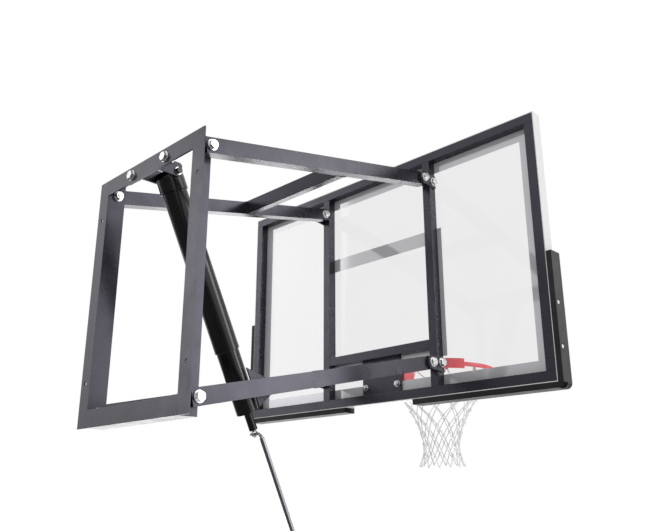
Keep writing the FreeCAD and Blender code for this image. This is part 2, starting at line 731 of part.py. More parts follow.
def pad_screw_spots():
    """Where the pad screws go in on each side, and the way they point."""
    skin = size["seat"] + size["trim_thick"] + size["pad_thick"]
    spots = {}
    for name, side in SIDES.items():
        levels = [board_low + size["pad_screw_low"] + size["pad_screw_gap"] * step for step in (0, 1)]
        spots[name] = [((half_board + skin) * side, bolt_row, up, OUTWARD[-side]) for up in levels]
    return spots


def build_pads():
    """Corner pads round the lower edges, each with a lip over the front of the pane."""
    trim = size["trim_thick"]
    thick = size["pad_thick"]
    deep = size["pad_deep"]
    slack = size["seat"]
    edge = trim_at + trim + slack
    floor = board_low - 2 * slack - trim
    wall = thick - slack
    lip_from = board_back + size["trim_deep"] + slack
    lip_deep = deep - size["trim_deep"] - slack
    end = size["pad_end_at"]
    up = size["pad_up"] - thick
    screws = []
    for name, side in SIDES.items():
        side_x = edge if side > 0 else -edge - wall
        lip_x = edge - size["pad_lip"] if side > 0 else -edge
        under_x = end if side > 0 else -edge
        corner = rod(wall, deep, edge * side, board_back, floor, TO_COURT)
        parts = [box(wall, deep, up, side_x, board_back, floor),
                 box(edge - end, deep, wall, under_x, board_back, floor - wall),
                 corner,
                 box(size["pad_lip"], lip_deep, up, lip_x, lip_from, floor),
                 box(edge - end, lip_deep, size["pad_lip"], under_x, lip_from, floor)]
        room = size["trim_deep"] + 2 * slack
        board_room = box(2 * edge, room, size["board_high"], -edge, board_back - slack, floor)
        holes = []
        for x, y, z, inward in pad_screw_spots()[name]:
            holes.append(rod(size["pad_screw"] / 2 + size["slack"], size["pad_screw_long"], x, y, z, inward))
            high = size["pad_screw_head_high"]
            holes.append(rod(size["pad_screw_head"] / 2 + size["pad_head_room"], high, x, y, z, inward))
            seat = [value + high * part for value, part in zip((x, y, z), inward)]
            screws.append(fuse([rod(size["pad_screw_head"] / 2, high, *seat, inward * -1),
                                rod(size["pad_screw"] / 2, size["pad_screw_long"] - high, *seat, inward)]))
        keep(cut(fuse(parts), [board_room] + holes), f"corner_pad_{name}")
    keep(group(screws), "pad_screws")


def build_hoop():
    """Rim plate with cheeks, the band round the back of the ring, the ring and its net hooks."""
    thick = size["rim_plate_thick"]
    top = ring_up + size["band_high"] / 2
    low = top - size["rim_plate_high"]
    front = rim_back + thick
    cheek_room = size["cheek_thick"] + size["washer_room"]
    wide = size["hoop_bolt_across"] + size["small_washer_wide"] + 2 * cheek_room
    base = box(wide, thick, size["rim_plate_high"], -wide / 2, rim_back, low)
    band_outer = ring_radius + size["ring_rod"] / 2 + size["band_thick"]
    cheek_inner = wide / 2 - size["cheek_thick"]
    touch = ring_out - root(band_outer * band_outer - cheek_inner * cheek_inner) - size["seat"]
    knee = rim_back + size["cheek_deep"]
    under_band = top - size["band_high"]
    slope = size["cheek_slope"]
    parts = [base]
    corners = [(front, low), (knee, low + slope), (knee, under_band - slope), (knee + 2 * slope, under_band),
               (touch, under_band), (touch, top), (front, top)]
    for side in SIDES.values():
        cheek = plate("YZ_Plane", corners, size["cheek_thick"])
        start = wide / 2 - size["cheek_thick"] if side > 0 else -wide / 2
        parts.append(place(cheek, start, 0, 0))
    keep(cut(fuse(parts), hoop_holes()), "rim_bracket")
    sector = doc.addObject("Part::Cylinder", "Band")
    bind(sector, "Radius", band_outer)
    bind(sector, "Height", size["band_high"])
    bind(sector, "Angle", size["band_spread"])
    start_angle = 270 - size["band_spread"] / 2
    place(sector, 0, ring_out, under_band, turn=Rotation(Vector(0, 0, 1), start_angle.value))
    sector.setExpression("Placement.Rotation.Angle", start_angle.text)
    core_low = top - 1.5 * size["band_high"]
    core = rod(band_outer - size["band_thick"], 2 * size["band_high"], 0, ring_out, core_low)
    keep(cut(sector, [core]), "rim_band")
    keep(ring(ring_radius, size["ring_rod"] / 2, 0, ring_out, ring_up), "rim_ring")
    hooks = []
    hang = size["ring_rod"] / 2 + size["seat"] + hook_outer
    for index in range(int(size["hook_count"].value)):
        angle = sized(index + 0.5) * 360 / size["hook_count"]
        turn = 90 + angle.value
        tangent = Vector(math.cos(math.radians(turn)), math.sin(math.radians(turn)), 0)
        hooks.append(ring(size["hook_ring"], size["hook_wire"] / 2, ring_radius * cosine(angle),
                          ring_out + ring_radius * sine(angle), ring_up - hang, tangent))
    keep(group(hooks), "net_hooks")


def net_radius(share):
    """Radius of the net from its top, share 0, to its foot, share 1."""
    top = ring_radius.value
    waist = size["net_waist_wide"].value / 2
    foot = size["net_foot_wide"].value / 2
    waist_at = size["net_waist_share"].value
    if share < waist_at:
        left = 1 - share / waist_at
        return waist + (top - waist) * left ** size["net_curve"].value
    return waist + (foot - waist) * ((share - waist_at) / (1 - waist_at)) ** 2


def build_net():
    """Net as a thin tapered sleeve with its rows of diamond gaps, hung under the hooks as one holed solid."""
    rows = int(size["net_rows"].value)
    columns = int(size["hook_count"].value)
    cord = size["net_cord"].value
    long_net = size["net_long"].value
    top = (ring_up - size["ring_rod"] / 2 - 2 * hook_outer - 2 * size["seat"]).value
    levels = [index / (rows + 1) for index in range(rows + 2)]
    rims = [(net_radius(share), top - long_net * share) for share in levels]
    outside = [Vector(radius + cord / 3, 0, height) for radius, height in rims]
    inside = [Vector(radius - cord / 3, 0, height) for radius, height in reversed(rims)]
    profile = Part.Face(Part.makePolygon(outside + inside + outside[:1]))
    sleeve = profile.revolve(Vector(0, 0, 0), Vector(0, 0, 1), 360)
    gaps = []
    step = long_net / (rows + 1)
    for row in range(rows + 2):
        radius, height = rims[row]
        half_angle = math.pi / columns
        half_wide = radius * math.tan(half_angle) - cord
        half_high = step - 1.2 * cord
        reach = 2 * cord + 0.35 * radius
        shift = half_angle * (row % 2)
        outline_points = [Vector(0, half_wide, height), Vector(0, 0, height + half_high),
                          Vector(0, -half_wide, height), Vector(0, 0, height - half_high)]
        diamond = Part.Face(Part.makePolygon(outline_points + outline_points[:1]))
        tool = diamond.extrude(Vector(2 * reach, 0, 0))
        tool.translate(Vector(radius - reach, 0, 0))
        for column in range(columns):
            gap = tool.copy()
            gap.rotate(Vector(0, 0, 0), Vector(0, 0, 1), math.degrees(shift + 2 * half_angle * column))
            gaps.append(gap)
    thing = doc.addObject("Part::Feature", "Net")
    thing.Shape = sleeve.cut(gaps)
    place(thing, 0, ring_out, 0)
    keep(thing, "net")


def build_jack():
    """Screw jack: head, tubes, guides, nut tube and drive screw, built hanging from the pivot."""
    lug_wide = size["jack_lug_wide"]
    collar_from = size["collar_from"]
    collar_to = size["collar_to"]
    weld = size["weld_in"]
    lug = rod(size["jack_lug"], lug_wide, -lug_wide / 2, 0, 0, TURN_X)
    neck = box(size["neck_wide"], 2 * size["jack_lug"], collar_from + weld,
               -size["neck_wide"] / 2, -size["jack_lug"], -collar_from - weld)
    collar = rod(size["collar_wide"] / 2, collar_to - collar_from, 0, 0, -collar_from, DOWN)
    bore = rod(size["small_bolt"] / 2 + size["running"], 2 * lug_wide, -lug_wide, 0, 0, TURN_X)
    outer = size["outer_wide"] / 2
    outer_bore = size["outer_bore"] / 2
    inner = size["inner_wide"] / 2
    inner_bore = size["inner_bore"] / 2
    screw = size["screw_wide"] / 2
    guide = size["guide_long"]
    outer_long = size["outer_to"] - collar_to
    guide_low = guide - size["outer_to"]
    nut_outer = size["nut_tube_wide"] / 2
    nut_long = size["nut_tube_to"] - collar_to
    inner_start = inner_end - size["inner_long"]
    shell = pipe(inner, inner_bore, size["inner_long"], 0, 0, -inner_start, DOWN)
    room = size["clevis_pin"] / 2 + size["pin_room"]
    pin_holes = rod(room, 2 * size["inner_wide"], -size["inner_wide"], 0, -jack_length, TURN_X)
    cap_from = inner_end - size["cap_thick"]
    top_guide = pipe(outer_bore - size["running"], inner, guide, 0, 0, -inner_start, DOWN)
    end_cap = pipe(inner_bore, screw + size["running"], size["cap_thick"], 0, 0, -cap_from, DOWN)
    socket_from = inner_end + size["slack"]
    thrust_from = cap_from - size["slack"] - size["thrust_long"]
    stem = rod(screw, size["screw_long"] + weld, 0, 0, size["screw_long"] - socket_from, DOWN)
    thrust = rod(size["thrust_wide"] / 2, size["thrust_long"], 0, 0, -thrust_from, DOWN)
    socket = rod(size["socket_wide"] / 2, socket_to - socket_from, 0, 0, -socket_from, DOWN)
    wire = size["eye_wire"] / 2
    loop = ring(size["eye_ring"], wire, 0, 0, -eye_at, TURN_X)
    tang = rod(2 * wire, 2 * wire, 0, 0, -socket_to, DOWN)
    made = {
        "jack_head": cut(fuse([lug, neck, collar]), [bore]),
        "jack_outer_tube": pipe(outer, outer_bore, outer_long, 0, 0, -collar_to, DOWN),
        "jack_guide_ring": pipe(outer_bore, inner + size["running"], guide, 0, 0, guide_low, DOWN),
        "jack_nut_tube": pipe(nut_outer, screw + size["slack"], nut_long, 0, 0, -collar_to, DOWN),
        "jack_inner_tube": cut(shell, [pin_holes]),
        "jack_inner_fittings": group([top_guide, end_cap]),
        "drive_screw": fuse([stem, thrust, socket]),
        "crank_eye": fuse([loop, tang]),
    }
    for label, thing in made.items():
        keep(mount_jack_piece(thing), label)


def build_crank():
    """Crank: a hook through the eye, long rod, throw and handle with two grips."""
    eye_out = size["jack_out"] + eye_at * sine(jack_tilt)
    eye_up = jack_up - eye_at * cosine(jack_tilt)
    radius = size["crank_rod"] / 2
    wire = size["crank_hook"] / 2
    hang = size["eye_ring"] - size["eye_wire"] / 2 - wire - size["slack"]
    curl = size["crank_curl"]
    aside = size["crank_aside"]
    throw = size["crank_throw"]
    handle_at = aside + throw
    top = hang + curl
    bend = size["crank_bend"]
    foot = size["crank_long"]
    handle_low = foot + bend + size["slack"]
    end = handle_low + size["grip_long"] + size["slack"]
    tail = rod(wire, size["crank_tail"] + aside - curl, -size["crank_tail"], 0, -hang, TURN_X)
    main = rod(radius, foot - bend - top, aside, 0, -top, DOWN)
    cross = rod(radius, throw - 2 * bend, aside + bend, 0, -foot, TURN_X)
    handle = rod(radius, end - foot - bend, handle_at, 0, -foot - bend, DOWN)
    stop = rod(radius + size["grip_wall"], size["grip_stop"], handle_at, 0, -end, DOWN)
    parts = [tail, main, cross, handle, stop]
    elbows = [
        (bend, radius, aside + bend, bend - foot, 180),
        (bend, radius, handle_at - bend, -foot - bend, 0),
        (curl, wire, aside - curl, -top, 0),
    ]
    for large, bar, x, z, turn in elbows:
        elbow = ring(large, bar, x, 0, z)
        elbow.Angle3 = 90
        elbow.Placement.Rotation = Rotation(TURN_X, 90) * Rotation(Vector(0, 0, 1), turn)
        parts.append(elbow)
    bore = radius + size["running"]
    sleeve = bore + size["grip_wall"]
    rod_low = foot - bend - size["grip_long"] - size["grip_end"]
    made = {
        "crank_rod": fuse(parts),
        "rod_grip": pipe(sleeve, bore, size["grip_long"], aside, 0, -rod_low, DOWN),
        "handle_grip": pipe(sleeve, bore, size["grip_long"], handle_at, 0, -handle_low, DOWN),
    }
    for label, thing in made.items():
        keep(place(thing, 0, eye_out, eye_up, tilt=size["crank_tilt"]), label)


def export():
    """Recompute, check every object and write one file for each piece."""
    doc.recompute()
    for thing in doc.Objects:
        if "Invalid" in thing.State or "Error" in thing.State:
            raise RuntimeError(f"{thing.Label} did not compute: {thing.State}")
    os.makedirs("parts", exist_ok=True)
    for piece in pieces:
        shape = piece.Shape
        if shape.isNull() or not shape.isValid():
            raise RuntimeError(f"{piece.Label} has no valid shape")
        shape.exportStep(f"parts/{piece.Label}.step")
        print(f"{piece.Label}: {len(shape.Solids)} solids, {shape.Volume / 1000:.1f} cm3")


build_wall_frame()
build_jack_bracket()
build_wall_pivots()
build_arms("upper", 1, size["upper_bar_at"])
build_arms("lower", -1, size["lower_bar_at"])
build_clevis()
build_board_frame()
build_brackets()
build_pane()
build_pads()
build_hoop()
build_net()
build_jack()
build_crank()
export()
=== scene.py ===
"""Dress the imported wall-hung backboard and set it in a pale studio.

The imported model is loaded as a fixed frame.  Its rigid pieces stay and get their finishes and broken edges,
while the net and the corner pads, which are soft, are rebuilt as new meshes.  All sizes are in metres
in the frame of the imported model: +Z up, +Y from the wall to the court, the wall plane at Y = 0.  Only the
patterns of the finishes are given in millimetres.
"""

import logging
import math
from dataclasses import dataclass
from enum import Enum
from typing import Any, Callable, Iterable, Sequence

import bmesh
import bpy
from mathutils import Matrix, Vector


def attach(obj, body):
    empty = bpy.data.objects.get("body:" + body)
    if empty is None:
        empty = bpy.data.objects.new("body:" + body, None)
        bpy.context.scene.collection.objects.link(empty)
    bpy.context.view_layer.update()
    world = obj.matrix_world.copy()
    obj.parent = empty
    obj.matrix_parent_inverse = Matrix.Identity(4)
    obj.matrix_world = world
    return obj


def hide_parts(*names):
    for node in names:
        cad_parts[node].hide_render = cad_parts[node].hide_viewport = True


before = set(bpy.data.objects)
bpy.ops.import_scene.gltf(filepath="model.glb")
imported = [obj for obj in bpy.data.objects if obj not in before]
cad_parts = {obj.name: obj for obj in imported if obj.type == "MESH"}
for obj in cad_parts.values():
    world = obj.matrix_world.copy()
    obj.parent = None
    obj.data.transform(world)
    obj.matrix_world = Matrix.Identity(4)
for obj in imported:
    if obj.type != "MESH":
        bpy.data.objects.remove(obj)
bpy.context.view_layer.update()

MM = 0.001

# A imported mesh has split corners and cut-up faces: points this close are one, and so are faces this level
SAME_POINT = 0.005 * MM
LEVEL_FACES = math.radians(0.4)
# Edges gentler than the first angle are shaded round, and edges sharper than the second are broken
GENTLE_EDGE = math.radians(32)
SHARP_EDGE = math.radians(40)
# The radius of a fastener's edges, and the faces round any broken edge
BOLT_EDGE = 0.5 * MM
EDGE_STEPS = 2

# The values between which Blender's noise mostly stays, and the finer layers of the slow patterns
NOISE_LOW, NOISE_HIGH = 0.3, 0.7
SLOW_LAYERS = 3.0
# The upward part of a face's normal from which dust starts to lie, and the part along Y of a rear face's
DUST_FROM = 0.4
REAR_FACE = -0.5
# Places of the colour sockets on Blender's mix node
FIRST_COLOUR, SECOND_COLOUR, MIXED_COLOUR = 6, 7, 2
WHITE = "#ffffff"

log = logging.getLogger("backboard")

Colour = tuple[float, float, float, float]
Path = list[Vector]
Section = Callable[[float], list[tuple[float, float]]]
Pieces = list[bpy.types.Object]


class Side(Enum):
    """Which half of the mirrored object a piece stands on."""

    LEFT = -1
    RIGHT = 1


class Level(Enum):
    """Which of two like things, one over the other, is meant."""

    UPPER = 1
    LOWER = -1


def linear(code: str) -> Colour:
    """Turn an sRGB hex colour to a linear one.

    Args:
        code: The colour as #rrggbb.

    Returns:
        Red, green, blue and a full alpha.
    """
    parts = [int(code[start:start + 2], 16) / 255 for start in (1, 3, 5)]
    red, green, blue = (part / 12.92 if part <= 0.04045 else ((part + 0.055) / 1.055) ** 2.4
                        for part in parts)
    return red, green, blue, 1.0


def per_metre(spacing_mm: float) -> float:
    """Give the pattern scale whose features are that many millimetres apart."""
    return 1.0 / (spacing_mm * MM)


def fill_inputs(tree: bpy.types.NodeTree, node: Any, inputs: dict[Any, Any]) -> None:
    """Set a node's inputs, by a link where the value is a socket.

    Args:
        tree: The node tree that holds the node.
        node: The node.
        inputs: Each input's name or number, with a socket to link from or a plain value.
    """
    for key, value in inputs.items():
        if isinstance(value, bpy.types.NodeSocket):
            tree.links.new(value, node.inputs[key])
        else:
            node.inputs[key].default_value = value


def add_node(tree: bpy.types.NodeTree, kind: str, inputs: dict[Any, Any] | None = None,
             **settings: Any) -> Any:
    """Add a node with its settings, its input values and its links.

    Args:
        tree: The node tree that gets the node.
        kind: The node's type name.
        inputs: Each input's name or number, with a socket to link from or a plain value.
        settings: The node's own properties.

    Returns:
        The new node.
    """
    node = tree.nodes.new(kind)
    for name, value in settings.items():
        setattr(node, name, value)
    fill_inputs(tree, node, inputs or {})
    return node


@dataclass(frozen=True)
class Patches:
    """Slow patches of another colour.

    Attributes:
        colour: The patches' colour as sRGB hex.
        spacing: Millimetres between patches.
        most: Share of that colour where there is most of it.
    """

    colour: str
    spacing: float = 160.0
    most: float = 1.0


@dataclass(frozen=True)
class Gloss:
    """Slow changes of gloss.

    Attributes:
        spacing: Millimetres between changes.
        smoother: How far the roughness falls in the glossier places.
        rougher: How far it rises in the duller ones.
    """

    spacing: float
    smoother: float
    rougher: float


@dataclass(frozen=True)
class Relief:
    """A fine bump.

    Attributes:
        spacing: Millimetres between the bumps.
        height: Height of the bumps in millimetres.
        layers: How many finer layers the pattern has.
    """

    spacing: float
    height: float
    layers: float = 1.0


@dataclass(frozen=True)
class Brush:
    """Draws the patterns of one material.

    Attributes:
        tree: The material's nodes.
        place: The texture coordinates.
    """

    tree: bpy.types.NodeTree
    place: Any

    def blotches(self, spacing: float, low: float, high: float) -> Any:
        """Make a slow change over the surface.

        Args:
            spacing: Millimetres between blotches.
            low: The value in the hollows of the pattern.
            high: The value on its crests.

        Returns:
            The socket that carries the value.
        """
        noise = add_node(self.tree, "ShaderNodeTexNoise", {
            "Vector": self.place.outputs["Object"], "Scale": per_metre(spacing), "Detail": SLOW_LAYERS})
        spread = add_node(self.tree, "ShaderNodeMapRange", {
            "Value": noise.outputs["Fac"], "From Min": NOISE_LOW, "From Max": NOISE_HIGH,
            "To Min": low, "To Max": high})
        return spread.outputs["Result"]

    def patched(self, colour: str, patches: Patches) -> Any:
        """Make a colour that goes slowly to that of its patches and back.

        Args:
            colour: The main colour as sRGB hex.
            patches: The patches.

        Returns:
            The socket that carries the colour.
        """
        mixed = add_node(self.tree, "ShaderNodeMix", {
            "Factor": self.blotches(patches.spacing, 0.0, patches.most), FIRST_COLOUR: linear(colour),
            SECOND_COLOUR: linear(patches.colour)}, data_type="RGBA")
        return mixed.outputs[MIXED_COLOUR]

    def dusted(self, colour: Any, most: float, dust: str) -> Any:
        """Lay dust on the faces that look up.

        Args:
            colour: The socket of the colour under the dust.
            most: Share of dust on level faces.
            dust: The dust's colour as sRGB hex.

        Returns:
            The socket that carries the colour.
        """
        apart = add_node(self.tree, "ShaderNodeSeparateXYZ", {"Vector": self.place.outputs["Normal"]})
        rise = add_node(self.tree, "ShaderNodeMapRange", {
            "Value": apart.outputs["Z"], "From Min": DUST_FROM, "From Max": 1.0,
            "To Min": 0.0, "To Max": most})
        mixed = add_node(self.tree, "ShaderNodeMix", {
            "Factor": rise.outputs["Result"], FIRST_COLOUR: colour, SECOND_COLOUR: linear(dust)},
            data_type="RGBA")
        return mixed.outputs[MIXED_COLOUR]

    def uneven(self, roughness: float, gloss: Gloss) -> Any:
        """Give the socket of a roughness that changes slowly."""
        return self.blotches(gloss.spacing, roughness - gloss.smoother, roughness + gloss.rougher)

    def bumped(self, relief: Relief) -> Any:
        """Make a fine bump.

        Args:
            relief: The bumps.

        Returns:
            The socket that carries the bent normal.
        """
        noise = add_node(self.tree, "ShaderNodeTexNoise", {
            "Vector": self.place.outputs["Object"], "Scale": per_metre(relief.spacing),
            "Detail": relief.layers})
        bump = add_node(self.tree, "ShaderNodeBump", {
            "Height": noise.outputs["Fac"], "Strength": 1.0, "Distance": relief.height * MM})
        return bump.outputs["Normal"]


@dataclass(frozen=True)
class Finish:
    """A surface: what it is made of and how it was made.

    Attributes:
        name: The material's common name and how its surface was made.
        colour: The main colour as sRGB hex.
        roughness: How far reflections spread.
        metallic: Share that shines as bare metal, 0 for a coat or plastic.
        ior: Index of refraction.
    """

    name: str
    colour: str
    roughness: float
    metallic: float = 0.0
    ior: float = 1.5

    def material(self) -> bpy.types.Material:
        """Make the material once and give the same one to every piece.

        Returns:
            The material.
        """
        known = bpy.data.materials.get(self.name)
        if known:
            return known
        material = bpy.data.materials.new(self.name)
        material.use_nodes = True
        tree = material.node_tree
        tree.nodes.clear()
        shader = add_node(tree, "ShaderNodeBsdfPrincipled", {
            "Base Color": linear(self.colour), "Roughness": self.roughness, "Metallic": self.metallic,
            "IOR": self.ior})
        add_node(tree, "ShaderNodeOutputMaterial", {"Surface": shader.outputs["BSDF"]})
        fill_inputs(tree, shader, self.surface(Brush(tree, add_node(tree, "ShaderNodeTexCoord"))))
        return material

    def surface(self, brush: Brush) -> dict[str, Any]:
        """Draw the surface's own patterns and give the shader's inputs, which each finish does in its way."""
        raise NotImplementedError


@dataclass(frozen=True)
class PowderCoat(Finish):
    """Baked powder coat: an even skin with orange peel, a little thin and dusty.

    Attributes:
        thin: The places where the coat is thinner.
        dust: Share of dust on faces that look up.
        dust_colour: The dust's colour.
        gloss: Its changes of gloss.
        peel: The dimples of the orange peel, drawn about twice as coarse to show.
        sheen_colour: The tint of the coat's reflections, from its clear binder.
    """

    thin: Patches = Patches("#26252b")
    dust: float = 0.10
    dust_colour: str = "#8d8a86"
    gloss: Gloss = Gloss(70.0, 0.03, 0.04)
    peel: Relief = Relief(5.0, 0.003)
    sheen_colour: str = WHITE

    def surface(self, brush: Brush) -> dict[str, Any]:
        """Draw thickness, dust, gloss changes and the orange peel."""
        coat = brush.dusted(brush.patched(self.colour, self.thin), self.dust, self.dust_colour)
        return {"Specular Tint": linear(self.sheen_colour), "Base Color": coat,
                "Roughness": brush.uneven(self.roughness, self.gloss), "Normal": brush.bumped(self.peel)}


@dataclass(frozen=True)
class PlatedSteel(Finish):
    """Electroplated zinc: bright metal with a faintly coloured passive film and barrel scuffs.

    Attributes:
        film: The patches of passive film.
        gloss: Its changes of gloss.
        scuff: The scuffs.
    """

    film: Patches = Patches("#d6d3cc", 14.0, 0.6)
    gloss: Gloss = Gloss(9.0, 0.04, 0.08)
    scuff: Relief = Relief(2.5, 0.02)

    def surface(self, brush: Brush) -> dict[str, Any]:
        """Draw the passive film, uneven gloss and scuffs."""
        return {"Base Color": brush.patched(self.colour, self.film),
                "Roughness": brush.uneven(self.roughness, self.gloss), "Normal": brush.bumped(self.scuff)}


@dataclass(frozen=True)
class SinteredBronze(Finish):
    """Pressed and sintered bronze: dull gold metal with oil-dark pores.

    Attributes:
        pore: The pores' spacing and depth.
        pore_colour: The oil's colour in the pores.
        pore_most: Share of that colour in the middle of a pore.
        pore_core: Radius of a pore's dark core, as a share of the spacing.
        pore_rim: Radius at which a pore ends, as a share of the spacing.
    """

    pore: Relief = Relief(1.2, 0.03)
    pore_colour: str = "#4a3a22"
    pore_most: float = 0.7
    pore_core: float = 0.1
    pore_rim: float = 0.35

    def surface(self, brush: Brush) -> dict[str, Any]:
        """Draw the pores.

        Args:
            brush: What draws the patterns.

        Returns:
            The shader's inputs.
        """
        pores = add_node(brush.tree, "ShaderNodeTexVoronoi", {
            "Vector": brush.place.outputs["Object"], "Scale": per_metre(self.pore.spacing)})
        dark = add_node(brush.tree, "ShaderNodeMapRange", {
            "Value": pores.outputs["Distance"], "From Min": self.pore_core, "From Max": self.pore_rim,
            "To Min": self.pore_most, "To Max": 0.0})
        tone = add_node(brush.tree, "ShaderNodeMix", {
            "Factor": dark.outputs["Result"], FIRST_COLOUR: linear(self.colour),
            SECOND_COLOUR: linear(self.pore_colour)}, data_type="RGBA")
        return {"Base Color": tone.outputs[MIXED_COLOUR], "Normal": brush.bumped(self.pore)}


@dataclass(frozen=True)
class CastAcrylic(Finish):
    """Cast acrylic sheet: clear right through, with a trace of haze and of milky tint.

    Attributes:
        haze: The hazy places.
        milky: The milky places.
    """

    haze: Gloss = Gloss(90.0, 0.0, 0.006)
    milky: Patches = Patches("#e8e9e8", 300.0, 0.5)

    def surface(self, brush: Brush) -> dict[str, Any]:
        """Make it clear and draw the haze and the tint."""
        return {"Transmission Weight": 1.0, "Roughness": brush.uneven(self.roughness, self.haze),
                "Base Color": brush.patched(self.colour, self.milky)}


@dataclass(frozen=True)
class PrintedFilm(Finish):
    """Line film: white print to the court; its side to the wall is painted grey for the shade on the print
    seen from behind, half dull and half mirror.

    Attributes:
        thin: The places where the print's ink is thinner.
        wave: The film's slow waves.
        shaded_back_colour: The colour of the side to the wall, grey as painted shade for the white print seen
            from behind.
        back_roughness: How far the reflections of the side to the wall spread.
        back_metal: Share of the side to the wall that shines as metal flake.
    """

    thin: Patches = Patches("#d8d8d4", 60.0, 0.12)
    wave: Relief = Relief(60.0, 0.01)
    # Grey painted shade for the white print seen from behind
    shaded_back_colour: str = "#c4c4c8"
    back_roughness: float = 0.06
    back_metal: float = 0.27

    def surface(self, brush: Brush) -> dict[str, Any]:
        """Draw the two sides of the film.

        Args:
            brush: What draws the patterns.

        Returns:
            The shader's inputs.
        """
        tree = brush.tree
        apart = add_node(tree, "ShaderNodeSeparateXYZ", {"Vector": brush.place.outputs["Normal"]})
        # Faces to the wall get the grey colour, a painted shade for the print seen from behind
        behind = add_node(tree, "ShaderNodeMath", {
            0: apart.outputs["Y"], 1: REAR_FACE}, operation="LESS_THAN")
        share = behind.outputs["Value"]
        gloss = add_node(tree, "ShaderNodeMapRange", {
            "Value": share, "To Min": self.roughness, "To Max": self.back_roughness})
        flake = add_node(tree, "ShaderNodeMath", {0: share, 1: self.back_metal}, operation="MULTIPLY")
        tone = add_node(tree, "ShaderNodeMix", {
            "Factor": share, FIRST_COLOUR: brush.patched(self.colour, self.thin),
            SECOND_COLOUR: linear(self.shaded_back_colour)}, data_type="RGBA")
        return {"Base Color": tone.outputs[MIXED_COLOUR], "Metallic": flake.outputs["Value"],
                "Roughness": gloss.outputs["Result"], "Normal": brush.bumped(self.wave)}


@dataclass(frozen=True)
class ExtrudedTrim(Finish):
    """Extruded white plastic: silky, with faint lines along its length.

    Attributes:
        line: The lines' spacing and depth.
        long_line: Millimetres over which a line changes along its length.
        yellowed: The places where the plastic has aged.
    """

    line: Relief = Relief(1.5, 0.03)
    long_line: float = 120.0
    yellowed: Patches = Patches("#cac8c6", 130.0, 0.5)

    def surface(self, brush: Brush) -> dict[str, Any]:
        """Draw the extrusion lines and a little ageing.

        Args:
            brush: What draws the patterns.

        Returns:
            The shader's inputs.
        """
        along, across = per_metre(self.long_line), per_metre(self.line.spacing)
        long_way = add_node(brush.tree, "ShaderNodeMapping", {
            "Vector": brush.place.outputs["Object"], "Scale": (along, across, along)})
        lines = add_node(brush.tree, "ShaderNodeTexNoise", {
            "Vector": long_way.outputs["Vector"], "Scale": 1.0})
        bump = add_node(brush.tree, "ShaderNodeBump", {
            "Height": lines.outputs["Fac"], "Distance": self.line.height * MM})
        return {"Base Color": brush.patched(self.colour, self.yellowed), "Normal": bump.outputs["Normal"]}


@dataclass(frozen=True)
class MouldedSkin(Finish):
    """Moulded skin of foam or of soft plastic: matt black, with a fine leathery grain.

    Attributes:
        grain: The spacing and depth of the grain's cells.
        worn: The scuffed patches.
        gloss: Its changes of gloss.
    """

    grain: Relief = Relief(3.0, 0.12)
    worn: Patches = Patches("#1a1a1c", 85.0, 0.7)
    gloss: Gloss = Gloss(50.0, 0.06, 0.06)

    def surface(self, brush: Brush) -> dict[str, Any]:
        """Draw the grain of the mould and the skin's scuffed patches.

        Args:
            brush: What draws the patterns.

        Returns:
            The shader's inputs.
        """
        cells = add_node(brush.tree, "ShaderNodeTexVoronoi", {
            "Vector": brush.place.outputs["Object"], "Scale": per_metre(self.grain.spacing)},
            feature="SMOOTH_F1")
        bump = add_node(brush.tree, "ShaderNodeBump", {
            "Height": cells.outputs["Distance"], "Distance": self.grain.height * MM})
        return {"Base Color": brush.patched(self.colour, self.worn),
                "Roughness": brush.uneven(self.roughness, self.gloss), "Normal": bump.outputs["Normal"]}


@dataclass(frozen=True)
class TwistedCord(Finish):
    """Twisted nylon cord: soft white fibre, a little grey in the lay of the strands.

    Attributes:
        fibre: The fibres, drawn as coarse as they need to be to show.
        soil: The soiled patches.
        fuzz: How much the loose fibres shine at grazing angles.
    """

    fibre: Relief = Relief(1.4, 0.2, 2.0)
    soil: Patches = Patches("#d2d4d5", 40.0, 0.6)
    fuzz: float = 0.25

    def surface(self, brush: Brush) -> dict[str, Any]:
        """Draw the fibres and the soiled patches."""
        return {"Sheen Weight": self.fuzz, "Base Color": brush.patched(self.colour, self.soil),
                "Normal": brush.bumped(self.fibre)}


# A dark grey skin whose highlights are soft and faintly violet
ANTHRACITE = PowderCoat("Powder-coated steel, satin anthracite", "#1d1c21", 0.26, ior=1.56,
                        sheen_colour="#ebe6fb")
# A deep black with narrower highlights and hardly any dust
JACK_BLACK = PowderCoat("Powder-coated steel, satin black", "#0a0a0d", 0.20, thin=Patches("#0f0f12"),
                        dust=0.03)
# A clear red that goes pale where the light lies on it
RIM_RED = PowderCoat("Powder-coated steel, gloss red", "#e0525c", 0.30, thin=Patches("#e8626b"))
# Bright, nearly white metal with small uneven glints
ZINC = PlatedSteel("Zinc-plated steel, barrel plated", "#e8eaee", 0.12, metallic=0.88)
# Darker metal with long clear reflections down the bar
CRANK_ZINC = PlatedSteel("Zinc-plated steel, drawn bar", "#a9acb1", 0.09, metallic=1.0,
                         film=Patches("#989ba0", 14.0, 0.6))
# Dull gold, speckled with dark pores
BRONZE = SinteredBronze("Bronze, pressed and sintered", "#b8935a", 0.38, metallic=1.0)
# Clear as water: a lower index than acrylic's 1.49 keeps the reflections as faint as the photo shows them
ACRYLIC = CastAcrylic("Acrylic, cast clear sheet", "#ececec", 0.0, ior=1.2)
# White lines from the court, and from the wall side a half mirror whose grey is painted shade
LINE_FILM = PrintedFilm("Vinyl line film, printed with silver backing", "#eeeeea", 0.35)
# A silky off-white edge with fine lines along it
TRIM_WHITE = ExtrudedTrim("PVC edge trim, extruded white", "#d0d0d0", 0.38)
# A matt black that takes the light softly
PAD_FOAM = MouldedSkin("Polyurethane foam, moulded black skin", "#101011", 0.5, ior=1.38)
